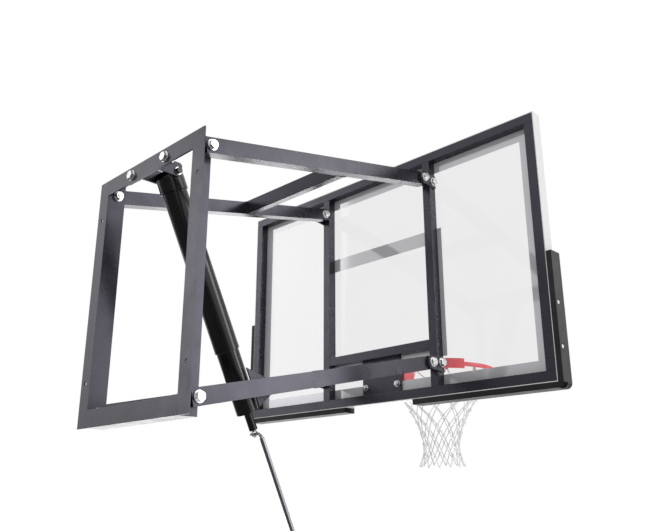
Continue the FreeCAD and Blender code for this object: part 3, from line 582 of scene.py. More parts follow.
# Soft white cord, a little grey between its strands
NET_CORD = TwistedCord("Nylon net cord, twisted white", "#f3f5f6", 0.75)
# A dull black with a finer grain than the pads'
GRIP_BLACK = MouldedSkin("PVC grip, dip moulded black", "#1a1a1c", 0.45, grain=Relief(2.0, 0.12))


def edge_cleaner() -> bpy.types.NodeTree:
    """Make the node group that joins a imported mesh's split corners and shades it by angle.

    Returns:
        The geometry node group, made once.
    """
    name = "joined corners"
    known = bpy.data.node_groups.get(name)
    if known:
        return known
    tree = bpy.data.node_groups.new(name, "GeometryNodeTree")
    for way in ("INPUT", "OUTPUT"):
        tree.interface.new_socket("Geometry", in_out=way, socket_type="NodeSocketGeometry")
    start = add_node(tree, "NodeGroupInput")
    bare = add_node(tree, "GeometryNodeRemoveAttribute", {
        "Geometry": start.outputs["Geometry"], "Name": "custom_normal"})
    joined = add_node(tree, "GeometryNodeMergeByDistance", {
        "Geometry": bare.outputs["Geometry"], "Distance": SAME_POINT})
    faces = add_node(tree, "GeometryNodeSetShadeSmooth", {
        "Geometry": joined.outputs["Geometry"]}, domain="FACE")
    angle = add_node(tree, "GeometryNodeInputMeshEdgeAngle")
    gentle = add_node(tree, "FunctionNodeCompare", {
        0: angle.outputs["Unsigned Angle"], 1: GENTLE_EDGE}, data_type="FLOAT", operation="LESS_THAN")
    edges = add_node(tree, "GeometryNodeSetShadeSmooth", {
        "Geometry": faces.outputs["Geometry"], "Shade Smooth": gentle.outputs["Result"]}, domain="EDGE")
    add_node(tree, "NodeGroupOutput", {"Geometry": edges.outputs["Geometry"]})
    return tree


def even_shading(piece: bpy.types.Object) -> None:
    """Weigh a piece's shading by the size of its faces, so that flat faces look flat."""
    weight = piece.modifiers.new("even shading", "WEIGHTED_NORMAL")
    weight.keep_sharp = True


def new_piece(name: str, mesh: bmesh.types.BMesh, body: str, finish: Finish) -> bpy.types.Object:
    """Turn a finished mesh into a piece that moves with a body.

    Args:
        name: The piece's name.
        mesh: The mesh, which is freed.
        body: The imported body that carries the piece.
        finish: The surface.

    Returns:
        The new object.
    """
    data = bpy.data.meshes.new(name)
    mesh.to_mesh(data)
    mesh.free()
    for polygon in data.polygons:
        polygon.use_smooth = True
    data.materials.append(finish.material())
    piece = bpy.data.objects.new(name, data)
    bpy.context.scene.collection.objects.link(piece)
    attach(piece, body)
    return piece


def smooth_line(points: Sequence[Vector], steps: int) -> Path:
    """Read a smooth line that follows a run of control points.

    Args:
        points: The control points.
        steps: Points that are read for each control point.

    Returns:
        The points of the line in order.
    """
    curve = bpy.data.curves.new("line", "CURVE")
    curve.dimensions = "3D"
    curve.resolution_u = steps
    spline = curve.splines.new("NURBS")
    spline.points.add(len(points) - 1)
    for spot, point in zip(spline.points, points):
        spot.co = (*point, 1.0)
    spline.order_u = 3
    spline.use_endpoint_u = True
    holder = bpy.data.objects.new("line", curve)
    bpy.context.scene.collection.objects.link(holder)
    bpy.context.view_layer.update()
    mesh = bpy.data.meshes.new_from_object(holder)
    line = [vertex.co.copy() for vertex in mesh.vertices]
    bpy.data.objects.remove(holder)
    bpy.data.curves.remove(curve)
    bpy.data.meshes.remove(mesh)
    return line


def sweep(mesh: bmesh.types.BMesh, line: Path, ring: Section) -> None:
    """Sweep a cross-section along a line, without twist of its own.

    Args:
        mesh: The mesh that gets the tube.
        line: The points that the tube follows.
        ring: Gives the section's points for a distance along the line.
    """
    rings = []
    travelled = 0.0
    across = None
    for index, point in enumerate(line):
        before = line[max(index - 1, 0)]
        after = line[min(index + 1, len(line) - 1)]
        ahead = (after - before).normalized()
        if across is None:
            across = ahead.orthogonal().normalized()
        across = (across - ahead * across.dot(ahead)).normalized()
        up = ahead.cross(across)
        rings.append([mesh.verts.new(point + across * x + up * y) for x, y in ring(travelled)])
        travelled += (after - point).length
    for first, second in zip(rings, rings[1:]):
        for index in range(len(first)):
            following = (index + 1) % len(first)
            mesh.faces.new((first[index], first[following], second[following], second[index]))
    mesh.faces.new(list(reversed(rings[0])))
    mesh.faces.new(rings[-1])


def strand_ring(radius: float, lay: float, points: int = 9) -> Section:
    """Make the section of a laid cord, whose strands turn as it goes.

    Args:
        radius: The cord's outer radius.
        lay: The length of one turn of the strands.
        points: Points round the section.

    Returns:
        A function of the distance along the cord that gives the section.
    """
    strands, groove = 3, 0.14

    def section(distance: float) -> list[tuple[float, float]]:
        """Give the section's points at a distance along the cord.

        Args:
            distance: The distance.

        Returns:
            Each point's two offsets from the line.
        """
        twist = math.tau * distance / lay
        spots = []
        for index in range(points):
            angle = math.tau * index / points
            reach = radius * (1 - groove + groove * math.cos(strands * (angle - twist)))
            spots.append((reach * math.cos(angle), reach * math.sin(angle)))
        return spots

    return section


def bead_ring(radius: float, ripple: float) -> Section:
    """Make the section of a weld bead, which swells with each drop of metal.

    Args:
        radius: The bead's largest radius.
        ripple: The distance from drop to drop.

    Returns:
        A function of the distance along the seam that gives the section.
    """
    swell, points = 0.12, 8

    def section(distance: float) -> list[tuple[float, float]]:
        """Give the bead's section at a distance along the seam.

        Args:
            distance: The distance.

        Returns:
            Each point's two offsets from the line.
        """
        reach = radius * (1 - swell + swell * math.cos(math.tau * distance / ripple))
        turns = [math.tau * index / points for index in range(points)]
        return [(reach * math.cos(turn), reach * math.sin(turn)) for turn in turns]

    return section


@dataclass
class SubAssembly:
    """A group of pieces that are dressed together.

    Attributes:
        body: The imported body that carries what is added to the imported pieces, where anything is.
        edge: The radius of a broken edge.
        bead: A weld bead's radius.
        bead_ripple: The distance from drop to drop along a bead.
        bead_step: The distance between a bead's sections, fine enough for its ripple.
    """

    body: str = ""
    edge: float = 1.2 * MM
    bead: float = 2.4 * MM
    bead_ripple: float = 3.2 * MM
    bead_step: float = 0.9 * MM

    def dress(self, nodes: Iterable[str], finish: Finish, edge: float | None = None) -> Pieces:
        """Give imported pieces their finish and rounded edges.

        Args:
            nodes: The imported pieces' names.
            finish: Their surface.
            edge: Radius of their edges, where it isn't the sub-assembly's own.

        Returns:
            The dressed objects.
        """
        dressed = []
        for name in nodes:
            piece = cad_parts[name]
            for slot in piece.material_slots:
                slot.material = finish.material()
            cleaner = piece.modifiers.new("joined corners", "NODES")
            cleaner.node_group = edge_cleaner()
            flat = piece.modifiers.new("whole faces", "DECIMATE")
            flat.decimate_type = "DISSOLVE"
            flat.angle_limit = LEVEL_FACES
            bevel = piece.modifiers.new("broken edges", "BEVEL")
            bevel.width = self.edge if edge is None else edge
            bevel.segments = EDGE_STEPS
            bevel.limit_method = "ANGLE"
            bevel.angle_limit = SHARP_EDGE
            bevel.miter_outer = "MITER_ARC"
            even_shading(piece)
            dressed.append(piece)
        return dressed

    def weld(self, name: str, seams: Iterable[Path], finish: Finish = ANTHRACITE,
             slot: str = "anthracite_steel") -> bpy.types.Object:
        """Lay weld beads along seams.

        Args:
            name: The piece's name.
            seams: The lines that the beads follow.
            finish: The coat over the beads.
            slot: The record's material slot; not used.

        Returns:
            The beads as one piece.
        """
        mesh = bmesh.new()
        for seam in seams:
            fine = []
            for start, end in zip(seam, seam[1:]):
                steps = max(2, round((end - start).length / self.bead_step))
                fine += [start.lerp(end, step / steps) for step in range(steps)]
            sweep(mesh, fine + [seam[-1]], bead_ring(self.bead, self.bead_ripple))
        return new_piece(name, mesh, self.body, finish)

    def build(self) -> Pieces:
        """Make and dress the pieces, which each sub-assembly does in its way."""
        raise NotImplementedError


@dataclass
class WallFrame(SubAssembly):
    """The steel angles on the wall, the jack's bracket and their bolts.

    Attributes:
        half_inner: Half the rails' length, where they meet the uprights.
        half_high: Half the frame's height.
        rail_high: Height of a rail's upright flange.
        thick: The steel's thickness.
        deep: Depth of the angles from the wall.
    """

    body: str = "wall_frame"
    edge: float = 0.6 * MM
    half_inner: float = 245 * MM
    half_high: float = 415 * MM
    rail_high: float = 56 * MM
    thick: float = 5 * MM
    deep: float = 63 * MM

    def corner_seams(self) -> list[Path]:
        """Give the seams in the four inner corners, up each rail's face and out along its shelf."""
        bends = [(self.thick, self.half_high - self.rail_high), (self.thick, self.half_high - self.thick),
                 (self.deep - self.thick, self.half_high - self.thick)]
        return [[Vector((side.value * self.half_inner, out, level.value * up)) for out, up in bends]
                for side in Side for level in Level]

    def build(self) -> Pieces:
        """Dress the angles, the bracket and the fasteners, and weld the corners.

        Returns:
            The pieces.
        """
        steel = self.dress(("wall_upright_left", "wall_upright_right", "wall_rail_top", "wall_rail_bottom",
                            "jack_bracket"), ANTHRACITE)
        bolts = self.dress(("bracket_bolts", "bracket_washers", "bracket_nuts", "wall_pivot_bolts",
                            "wall_pivot_washers", "wall_pivot_nuts"), ZINC, BOLT_EDGE)
        bolts += self.dress(("jack_pivot_bolt",), JACK_BLACK, BOLT_EDGE)
        return steel + bolts + [self.weld("wall_frame_welds", self.corner_seams())]


@dataclass
class SwingArms(SubAssembly):
    """One pair of swinging arms with its cross bar.

    Attributes:
        level: The upper or the lower pair.
        pivot_out: Distance of the wall pivots from the wall.
        pivot_rise: Height of the upper wall pivots over the middle of the frame.
        tilt: Angle of the arms at rest, in degrees.
        inner: Half the clear width between the arms.
        bar_from: Distance of the cross bar's near side along the arm.
        bar_wide: The cross bar's width along the arm.
        bar_high: The cross bar's height.
        clevis_faces: Distances of the clevis plates' faces from the middle.
        bush_edge: Radius of the bushes' edges.
    """

    level: Level = Level.UPPER
    pivot_out: float = 36 * MM
    pivot_rise: float = 367 * MM
    tilt: float = 12.5
    inner: float = 252 * MM
    bar_from: float = 577 * MM
    bar_wide: float = 40 * MM
    bar_high: float = 50 * MM
    clevis_faces: tuple[float, float] = (42 * MM, 48 * MM)
    bush_edge: float = 0.3 * MM

    def at(self, x: float, along: float, up: float) -> Vector:
        """Turn a place along the arm into a place in the frame."""
        spot = Matrix.Rotation(math.radians(self.tilt), 3, "X") @ Vector((x, along, up))
        return spot + Vector((0, self.pivot_out, self.pivot_rise * self.level.value))

    def bar_seams(self) -> list[Path]:
        """Give the seams round both ends of the cross bar.

        Returns:
            One closed run of corners for each end.
        """
        near, far = self.bar_from, self.bar_from + self.bar_wide
        half = self.bar_high / 2
        corners = [(near, -half), (near, half), (far, half), (far, -half), (near, -half)]
        return [[self.at(side.value * self.inner, along, up) for along, up in corners] for side in Side]

    def clevis_seams(self) -> list[Path]:
        """Give the seams up both faces of the two clevis plates."""
        half = self.bar_high / 2
        return [[self.at(side.value * face, self.bar_from, up) for up in (-half, half)]
                for side in Side for face in self.clevis_faces]

    def build(self) -> Pieces:
        """Dress the arms, the bar and the bushes, and weld the bar in.

        Returns:
            The pieces, with the clevis on the lower pair.
        """
        name = self.level.name.lower()
        pieces = self.dress((f"{name}_arm_left", f"{name}_arm_right", f"{name}_cross_bar"), ANTHRACITE)
        pieces += self.dress((f"{name}_arm_bushes",), BRONZE, self.bush_edge)
        seams = self.bar_seams()
        if self.level is Level.LOWER:
            seams += self.clevis_seams()
            pieces += self.dress(("jack_clevis_plates",), ANTHRACITE)
            pieces += self.dress(("jack_clevis_pins",), ZINC, BOLT_EDGE)
        return pieces + [self.weld(f"{name}_bar_welds", seams)]


@dataclass
class BoardFrame(SubAssembly):
    """The steel frame behind the pane, its brackets and its bolts.

    Attributes:
        back: The tubes' rear faces.
        tube: Width of a tube.
        low: The frame's lower edge.
        high: The frame's upper edge.
        post_at: Distance of the two posts from the middle.
        bar_low: The middle bar's lower edge.
        plate_half: Half the hoop plate's width.
        plate_thick: The hoop plate's thickness.
        seam_inset: How far a seam stops short of a tube's edge.
    """

    body: str = "board"
    bead: float = 2.0 * MM
    back: float = 1078.34 * MM
    tube: float = 35 * MM
    low: float = -259.13 * MM
    high: float = 705.87 * MM
    post_at: float = 280 * MM
    bar_low: float = -83.63 * MM
    plate_half: float = 98 * MM
    plate_thick: float = 8 * MM
    seam_inset: float = 3 * MM

    def seams(self) -> list[Path]:
        """Give the seams beside the posts' ends, over and under the middle bar, and along the hoop plate.

        Returns:
            The two ends of each seam.
        """
        near, far = self.back + self.seam_inset, self.back + self.tube - self.seam_inset
        post_ends = (self.low + self.tube, self.high - self.tube)
        bar_edges = (self.bar_low, self.bar_low + self.tube)
        lines = []
        for side in Side:
            inner, outer = -self.tube / 2 * side.value, self.tube / 2 * side.value
            for face, heights in ((inner, post_ends), (outer, post_ends), (inner, bar_edges)):
                x = side.value * self.post_at + face
                lines += [[Vector((x, near, z)), Vector((x, far, z))] for z in heights]
        behind = self.back + self.tube - self.plate_thick
        lines += [[Vector((-self.plate_half, behind, z)), Vector((self.plate_half, behind, z))]
                  for z in (self.low + self.tube, self.bar_low)]
        return lines

    def build(self) -> Pieces:
        """Dress the tubes, brackets and fasteners, and weld the joints.

        Returns:
            The pieces.
        """
        steel = self.dress(("frame_tube_top", "frame_tube_bottom", "frame_tube_left", "frame_tube_right",
                            "frame_upright_left", "frame_upright_right", "frame_mid_bar", "hoop_plate",
                            "board_bracket_ears"), ANTHRACITE)
        bolts = self.dress(("hoop_bolts", "board_pivot_bolts", "board_clamp_bolts", "board_nuts",
                            "board_washers", "pad_screws"), ZINC, BOLT_EDGE)
        return steel + bolts + [self.weld("board_frame_welds", self.seams())]


@dataclass
class Pane(SubAssembly):
    """The clear pane with its printed lines and white edge trims.

    Attributes:
        film_edge: Radius of the lines' edges, which are as thin as film.
        trim_edge: Radius of the trims' edges.
    """

    edge: float = 0.8 * MM
    film_edge: float = 0.02 * MM
    trim_edge: float = 0.6 * MM

    def build(self) -> Pieces:
        """Dress the pane, the lines and the trims."""
        pane = self.dress(("pane",), ACRYLIC) + self.dress(("board_lines",), LINE_FILM, self.film_edge)
        return pane + self.dress(("edge_trims",), TRIM_WHITE, self.trim_edge)


@dataclass
class CornerPads(SubAssembly):
    """The two moulded pads over the lower corners of the board.

    Attributes:
        round_edge: Radius of the pads' moulded edges.
        round_steps: Faces round such an edge.
        round_profile: Its section, where 0.5 is a quarter circle.
        long_edge: Length from which an edge is moulded round.
        fill: How firm the pads are; not used.
    """

    body: str = "board"
    round_edge: float = 4.5 * MM
    round_steps: int = 4
    round_profile: float = 0.5
    long_edge: float = 30 * MM
    fill: float = 0.9

    def pad(self, side: Side) -> bpy.types.Object:
        """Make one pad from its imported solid, with moulded round edges.

        Args:
            side: Which lower corner it covers.

        Returns:
            The pad.
        """
        node = f"corner_pad_{side.name.lower()}"
        mesh = bmesh.new()
        mesh.from_mesh(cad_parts[node].data)
        bmesh.ops.remove_doubles(mesh, verts=mesh.verts, dist=SAME_POINT)
        bmesh.ops.dissolve_limit(mesh, angle_limit=LEVEL_FACES, verts=mesh.verts, edges=mesh.edges)
        sharp = [edge for edge in mesh.edges if edge.is_manifold and edge.calc_face_angle() > SHARP_EDGE
                 and edge.calc_length() > self.long_edge]
        bmesh.ops.bevel(mesh, geom=sharp, offset=self.round_edge, segments=self.round_steps,
                        profile=self.round_profile, affect="EDGES", clamp_overlap=True)
        pad = new_piece(f"{node}_foam", mesh, self.body, PAD_FOAM)
        even_shading(pad)
        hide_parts(node)
        return pad

    def build(self) -> Pieces:
        """Make both pads."""
        return [self.pad(side) for side in Side]


@dataclass
class Hoop(SubAssembly):
    """The red rim with its bracket, band, ring and net hooks.

    Attributes:
        centre: The ring's centre.
        seam_radius: Radius of the seams between ring and band.
        seam_rise: How far the seams lie over and under the ring's middle.
        seam_steps: Straight runs along a seam.
        spread: Angle that the band spans, in degrees.
        wallward: Direction from the ring to the wall, in degrees.
    """

    body: str = "board"
    centre: Vector = Vector((0, 1481.84 * MM, -95.63 * MM))
    seam_radius: float = 240.5 * MM
    seam_rise: float = 6.5 * MM
    seam_steps: int = 60
    spread: float = 116.0
    wallward: float = 270.0

    def band_seams(self) -> list[Path]:
        """Give the seams over and under the ring, where it lies in the band on the wall's side.

        Returns:
            The points of both seams.
        """
        lines = []
        for level in Level:
            line = []
            for step in range(self.seam_steps + 1):
                turn = math.radians(self.wallward + self.spread * (step / self.seam_steps - 0.5))
                flat = Vector((math.cos(turn), math.sin(turn), 0)) * self.seam_radius
                line.append(self.centre + flat + Vector((0, 0, level.value * self.seam_rise)))
            lines.append(line)
        return lines

    def build(self) -> Pieces:
        """Dress the rim, whose round bars have no edge to break, and weld the ring into its band.

        Returns:
            The pieces.
        """
        rim = self.dress(("rim_bracket", "rim_band"), RIM_RED)
        rim += self.dress(("rim_ring", "net_hooks"), RIM_RED, edge=0.0)
        return rim + [self.weld("rim_welds", self.band_seams(), RIM_RED, "red_steel")]


@dataclass
class Net(SubAssembly):
    """The knotted net that hangs from the hooks.

    Attributes:
        centre: The ring's centre, at height 0.
        hooks: How many hooks carry the net.
        rows: Rows of knots down the net.
        top: Height at which the net's first row starts, just under the hooks.
        long: Length of the net.
        mouth: Radius at the ring.
        waist: Radius at the narrowest row.
        waist_share: How far down the waist lies.
        taper: How quickly the net narrows.
        foot: Radius at the lowest row.
        cord: Radius of the cord.
        lay: Length of one turn of the cord's strands.
        cord_steps: Points along the cord for each crossing.
        crossing: How far a cord passes over or under another, in cord radii.
        loop_top: Height of the cord where it passes through a hook.
        loop_half: Half the loop's width there.
        loop_drop: How far under the first row's start the loop's shoulders lie.
        shoulder_half: Half the loop's width at its shoulders.
        knot_turns: Turns of cord in a knot.
        knot_reach: Radius of those turns, in cord radii.
        knot_rise: Half the knot's height, in cord radii.
        knot_cord: Radius of the pulled-tight cord in a knot, in cord radii.
        knot_lay: Length of one turn of its strands.
        knot_steps: Straight runs along a knot.
        knot_points: Points round the section of its cord.
    """

    body: str = "board"
    centre: Vector = Vector((0, 1481.84 * MM, 0))
    hooks: int = 12
    rows: int = 8
    top: float = -120.8 * MM
    long: float = 364 * MM
    mouth: float = 234 * MM
    waist: float = 73 * MM
    waist_share: float = 0.81
    taper: float = 1.8
    foot: float = 95 * MM
    cord: float = 2.6 * MM
    lay: float = 18 * MM
    cord_steps: int = 14
    crossing: float = 0.8
    loop_top: float = -113.6 * MM
    loop_half: float = 4.5 * MM
    loop_drop: float = 10 * MM
    shoulder_half: float = 6 * MM
    knot_turns: float = 1.5
    knot_reach: float = 1.75
    knot_rise: float = 1.6
    knot_cord: float = 0.8
    knot_lay: float = 16 * MM
    knot_steps: int = 21
    knot_points: int = 7

    @property
    def half_step(self) -> float:
        """Half the angle from hook to hook."""
        return math.pi / self.hooks

    def radius(self, share: float) -> float:
        """Give the net's radius at a share of its length from the top.

        Args:
            share: The share, 0 at the top and 1 at the foot.

        Returns:
            The radius.
        """
        if share < self.waist_share:
            return self.waist + (self.mouth - self.waist) * (1 - share / self.waist_share) ** self.taper
        below = (share - self.waist_share) / (1 - self.waist_share)
        return self.waist + (self.foot - self.waist) * below ** 2

    def spot(self, angle: float, radius: float, height: float) -> Vector:
        """Give a place on the net from its angle, radius and height."""
        return self.centre + Vector((radius * math.cos(angle), radius * math.sin(angle), height))

    def cord_path(self, hook: int) -> Path:
        """Give the control points of the cord that hangs over one hook, from foot to hook to foot.

        Args:
            hook: The hook's number.

        Returns:
            The control points.
        """
        middle = (hook + 0.5) * 2 * self.half_step
        legs = {}
        for side in Side:
            shoulder = middle + side.value * self.shoulder_half / self.mouth
            leg = [self.spot(middle + side.value * self.loop_half / self.mouth, self.mouth, self.loop_top),
                   self.spot(shoulder, self.mouth, self.top - self.loop_drop)]
            for row in range(1, self.rows + 1):
                share = row / self.rows
                over = self.cord * self.crossing * (1 if (row % 2 == 0) == (side is Side.LEFT) else -1)
                angle = middle + side.value * self.half_step * row
                leg.append(self.spot(angle, self.radius(share) + over, self.top - self.long * share))
            legs[side] = leg
        return list(reversed(legs[Side.LEFT])) + legs[Side.RIGHT]

    def knot(self, mesh: bmesh.types.BMesh, angle: float, share: float) -> None:
        """Tie a knot where two cords cross: a turn and a half of cord round both.

        Args:
            mesh: The mesh that gets the knot.
            angle: The knot's angle round the net.
            share: How far down the net it lies.
        """
        middle = self.spot(angle, self.radius(share), self.top - self.long * share)
        out = Vector((math.cos(angle), math.sin(angle), 0))
        side = Vector((-out.y, out.x, 0))
        reach = self.cord * self.knot_reach
        line = []
        for step in range(self.knot_steps + 1):
            turn = math.tau * self.knot_turns * step / self.knot_steps
            rise = self.cord * self.knot_rise * (step / self.knot_steps - 0.5) * 2
            line.append(middle + out * (reach * math.cos(turn)) + side * (reach * math.sin(turn))
                        + Vector((0, 0, rise)))
        sweep(mesh, line, strand_ring(self.cord * self.knot_cord, self.knot_lay, self.knot_points))

    def build(self) -> Pieces:
        """Make the cords and the knots as one net.

        Returns:
            The net.
        """
        mesh = bmesh.new()
        for hook in range(self.hooks):
            line = smooth_line(self.cord_path(hook), self.cord_steps)
            sweep(mesh, line, strand_ring(self.cord, self.lay))
        for row in range(1, self.rows):
            for hook in range(self.hooks):
                self.knot(mesh, (2 * hook + 1 + row) * self.half_step, row / self.rows)
        net = new_piece("net_cords", mesh, self.body, NET_CORD)
        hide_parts("net")
        return [net]


@dataclass
class ScrewJack(SubAssembly):
    """The telescopic screw jack, from its head to the eye on its screw."""

    edge: float = 0.8 * MM

    def build(self) -> Pieces:
        """Dress the tubes, the screw and the eye."""
        black = self.dress(("jack_head", "jack_outer_tube", "jack_guide_ring", "jack_nut_tube",
                            "jack_inner_tube", "jack_inner_fittings", "drive_screw"), JACK_BLACK)
        return black + self.dress(("crank_eye",), CRANK_ZINC, BOLT_EDGE)


@dataclass
class Crank(SubAssembly):
    """The loose crank rod with its two grips.

    Attributes:
        grip_edge: Radius of the grips' edges.
    """

    edge: float = 0.4 * MM
    grip_edge: float = 1.2 * MM

    def build(self) -> Pieces:
        """Dress the rod and the grips."""
        rod = self.dress(("crank_rod",), CRANK_ZINC)
        return rod + self.dress(("rod_grip", "handle_grip"), GRIP_BLACK, self.grip_edge)


@dataclass(frozen=True)
class SoftBox:
    """A large soft lamp.

    Attributes:
        name: The lamp's name.
        place: Where it stands.
        aim: The point that it looks at.
        wide: Its width.
        tall: Its height.
        glow: Its brightness, where 1 is white.
    """

    name: str
    place: tuple[float, float, float]
    aim: tuple[float, float, float]
    wide: float
    tall: float
    glow: float

    def build(self) -> bpy.types.Object:
        """Hang the lamp and turn it to its aim.

        Returns:
            The lamp.
        """
        lamp = bpy.data.lights.new(self.name, "AREA")
        lamp.shape = "RECTANGLE"
        lamp.size = self.wide
        lamp.size_y = self.tall
        lamp.energy = self.glow * math.pi * self.wide * self.tall
        holder = bpy.data.objects.new(self.name, lamp)
        holder.location = self.place
        holder.rotation_euler = (Vector(self.aim) - Vector(self.place)).to_track_quat("-Z", "Y").to_euler()
        holder.visible_camera = False
        bpy.context.scene.collection.objects.link(holder)
        return holder


@dataclass
class Studio:
    """The pale floor, the white surround, the soft lamps and a dark cloth that only reflections show.

    Attributes:
        floor_height: Height of the floor, below the crank's lowest point.
        floor_half: Half the floor's width.
        floor_colour: The floor's colour.
        matt: Roughness of the floor and the cloth.
        cells: Faces along each side of them.
        floor_lift: Glow that brings the lit floor up to white for the camera, for metal and for glass.
        surround: Brightness of the surround as a light.
        dark_share: How far the surround darkens low down behind the wall, for reflections only.
        dark_behind: The directions, by their part along Y, from which it darkens and at which it is darkest.
        dark_below: The same by their part along Z.
        cloth_half: Half the width and half the depth of the dark cloth on the floor behind the wall.
        cloth_edge: Where the cloth's edge on the court side lies.
        cloth_lift: How far the cloth lies over the floor.
        cloth_colour: The cloth's colour.
        lamps: The soft lamps.
    """

    floor_height: float = -1.70
    floor_half: float = 60.0
    floor_colour: str = "#fafafa"
    matt: float = 0.9
    cells: int = 4
    floor_lift: float = 0.35
    surround: float = 0.80
    dark_share: float = 0.9
    dark_behind: tuple[float, float] = (-0.35, -0.65)
    dark_below: tuple[float, float] = (0.33, -0.04)
    cloth_half: tuple[float, float] = (14.0, 8.0)
    cloth_edge: float = 0.3
    cloth_lift: float = 10 * MM
    cloth_colour: str = "#6c6c6c"
    lamps: tuple[SoftBox, ...] = (
        SoftBox("court side lamp", (3.6, 3.1, 1.2), (0.0, 0.3, 0.1), 1.9, 2.8, 3.8),
        SoftBox("low front lamp", (-4.4, 5.3, -1.5), (-0.1, 0.8, 0.3), 3.2, 3.2, 2.8),
        SoftBox("wall side lamp", (-11.9, -9.0, 4.0), (0.0, 0.0, 0.1), 3.0, 6.8, 1.9),
        SoftBox("under lamp", (-6.0, 3.6, -1.1), (0.0, 0.0, -0.4), 2.4, 0.9, 1.7),
    )

    def lay_flat(self, name: str, half: tuple[float, float],
                 colour: str) -> tuple[bpy.types.Object, bpy.types.NodeTree, Any]:
        """Lay a flat matt sheet as part of the studio.

        Args:
            name: The sheet's name.
            half: Half its width and half its depth.
            colour: Its colour as sRGB hex.

        Returns:
            The sheet, its material's nodes and its shader.
        """
        mesh = bmesh.new()
        bmesh.ops.create_grid(mesh, x_segments=self.cells, y_segments=self.cells, size=1.0)
        bmesh.ops.scale(mesh, vec=(*half, 1.0), verts=mesh.verts)
        data = bpy.data.meshes.new(name)
        mesh.to_mesh(data)
        mesh.free()
        material = bpy.data.materials.new(name)
        material.use_nodes = True
        tree = material.node_tree
        shader = tree.nodes["Principled BSDF"]
        fill_inputs(tree, shader, {
            "Base Color": linear(colour), "Roughness": self.matt, "Specular IOR Level": 0.0})
        data.materials.append(material)
        sheet = bpy.data.objects.new(name, data)
        bpy.context.scene.collection.objects.link(sheet)
        return sheet, tree, shader

    def build_floor(self) -> bpy.types.Object:
        """Lay the pale floor, lifted to white for the rays that show it.

        Returns:
            The floor.
        """
        half = self.floor_half, self.floor_half
        floor, tree, shader = self.lay_flat("studio_floor", half, self.floor_colour)
        floor.location = (0, 0, self.floor_height)
        lift = add_node(tree, "ShaderNodeMath", {
            0: self.shown(tree), 1: self.floor_lift}, operation="MULTIPLY")
        fill_inputs(tree, shader, {
            "Emission Color": linear(WHITE), "Emission Strength": lift.outputs["Value"]})
        return floor

    def build_cloth(self) -> bpy.types.Object:
        """Lay a grey cloth on the wall side that shows only as the dark side of round shiny things.

        Returns:
            The cloth.
        """
        cloth, *_ = self.lay_flat("studio_cloth", self.cloth_half, self.cloth_colour)
        cloth.location = (0, self.cloth_edge - self.cloth_half[1], self.floor_height + self.cloth_lift)
        for ray in ("camera", "diffuse", "transmission", "shadow"):
            setattr(cloth, f"visible_{ray}", False)
        return cloth

    def shown(self, tree: bpy.types.NodeTree) -> Any:
        """Give 1 for rays that show things to the camera, straight, mirrored or through glass.

        Args:
            tree: The nodes that ask.

        Returns:
            The socket that carries the value.
        """
        path = add_node(tree, "ShaderNodeLightPath")
        seen = add_node(tree, "ShaderNodeMath", {
            0: path.outputs["Is Camera Ray"], 1: path.outputs["Is Glossy Ray"]}, operation="MAXIMUM")
        through = add_node(tree, "ShaderNodeMath", {
            0: seen.outputs["Value"], 1: path.outputs["Is Transmission Ray"]}, operation="MAXIMUM")
        return through.outputs["Value"]

    def mirrored_level(self, tree: bpy.types.NodeTree) -> Any:
        """Give the surround's brightness in reflections: white, but dark low down behind the wall.

        Args:
            tree: The surround's nodes.

        Returns:
            The socket that carries the brightness.
        """
        place = add_node(tree, "ShaderNodeTexCoord")
        way = add_node(tree, "ShaderNodeSeparateXYZ", {"Vector": place.outputs["Generated"]})
        shares = []
        for axis, (start, end) in (("Y", self.dark_behind), ("Z", self.dark_below)):
            share = add_node(tree, "ShaderNodeMapRange", {
                "Value": way.outputs[axis], "From Min": start, "From Max": end, "To Min": 0.0, "To Max": 1.0},
                interpolation_type="SMOOTHSTEP")
            shares.append(share.outputs["Result"])
        both = add_node(tree, "ShaderNodeMath", {0: shares[0], 1: shares[1]}, operation="MULTIPLY")
        path = add_node(tree, "ShaderNodeLightPath")
        # A ray through glass counts as glossy too, and it has to stay white
        bounced = add_node(tree, "ShaderNodeMath", {
            0: path.outputs["Is Glossy Ray"], 1: path.outputs["Is Transmission Ray"]}, operation="SUBTRACT",
            use_clamp=True)
        mirrored = add_node(tree, "ShaderNodeMath", {
            0: both.outputs["Value"], 1: bounced.outputs["Value"]}, operation="MULTIPLY")
        level = add_node(tree, "ShaderNodeMapRange", {
            "Value": mirrored.outputs["Value"], "To Min": 1.0, "To Max": 1.0 - self.dark_share})
        return level.outputs["Result"]

    def build_surround(self) -> None:
        """Set a surround that is white to the camera, to metal and to glass, and a soft light to the rest."""
        world = bpy.data.worlds.new("studio surround")
        bpy.context.scene.world = world
        world.use_nodes = True
        tree = world.node_tree
        tree.nodes.clear()
        light = add_node(tree, "ShaderNodeBackground", {"Color": linear(WHITE), "Strength": self.surround})
        white = add_node(tree, "ShaderNodeBackground", {
            "Color": linear(WHITE), "Strength": self.mirrored_level(tree)})
        both = add_node(tree, "ShaderNodeMixShader", {
            0: self.shown(tree), 1: light.outputs["Background"], 2: white.outputs["Background"]})
        add_node(tree, "ShaderNodeOutputWorld", {"Surface": both.outputs["Shader"]})

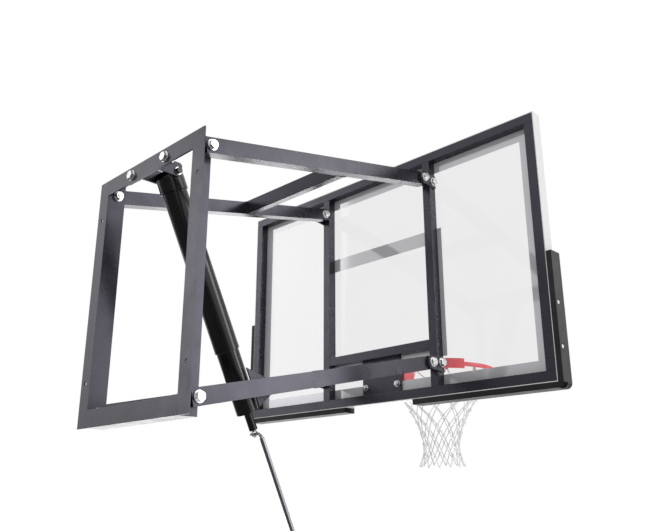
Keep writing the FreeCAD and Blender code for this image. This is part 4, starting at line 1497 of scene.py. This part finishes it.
    def build(self) -> Pieces:
        """Set up the surround, the floor, the cloth and the lamps.

        Returns:
            The floor, the cloth and the lamps.
        """
        bpy.context.scene.view_settings.view_transform = "Standard"
        self.build_surround()
        return [self.build_floor(), self.build_cloth()] + [lamp.build() for lamp in self.lamps]


@dataclass
class PhotoCamera:
    """The camera at the photograph's place.

    Attributes:
        place: The camera's position.
        azimuth: Direction from the object to the camera, in degrees from the wall's side towards +X.
        elevation: Angle over the horizon, in degrees.
        roll: Turn about the line of sight, in degrees.
        lens: Focal length in millimetres.
        film: Width of the film in millimetres.
        far: How far the camera sees.
    """

    place: Vector = Vector((1.91365, -1.10622, -0.64007))
    azimuth: float = 45.24
    elevation: float = -18.0
    roll: float = 0.06
    lens: float = 40.964
    film: float = 36.0
    far: float = 200.0

    def build(self) -> bpy.types.Object:
        """Set the camera up and make it the scene's own.

        Returns:
            The camera.
        """
        turn, rise = math.radians(self.azimuth), math.radians(self.elevation)
        back = Vector((math.sin(turn) * math.cos(rise), -math.cos(turn) * math.cos(rise), math.sin(rise)))
        right = Vector((math.cos(turn), math.sin(turn), 0))
        pose = Matrix((right, back.cross(right), back)).transposed()
        pose = pose @ Matrix.Rotation(math.radians(self.roll), 3, "Z")
        data = bpy.data.cameras.new("photo camera")
        data.sensor_fit = "HORIZONTAL"
        data.sensor_width = self.film
        data.lens = self.lens
        data.clip_end = self.far
        camera = bpy.data.objects.new("photo_camera", data)
        camera.matrix_world = Matrix.Translation(self.place) @ pose.to_4x4()
        bpy.context.scene.collection.objects.link(camera)
        bpy.context.scene.camera = camera
        return camera


def main() -> None:
    """Build the camera, every sub-assembly and the studio, in that order."""
    logging.basicConfig(level=logging.INFO, format="%(name)s: %(message)s")
    PhotoCamera().build()
    assemblies = (
        WallFrame(),
        SwingArms(body="upper_arms", level=Level.UPPER),
        SwingArms(body="lower_arms", level=Level.LOWER, bar_from=466 * MM),
        BoardFrame(),
        Pane(),
        CornerPads(),
        Hoop(),
        Net(),
        ScrewJack(),
        Crank(),
    )
    for assembly in assemblies:
        for piece in assembly.build():
            log.info("%s made %s", type(assembly).__name__, piece.name)
    for item in Studio().build():
        log.info("Studio made %s", item.name)


if __name__ == "__main__":
    main()
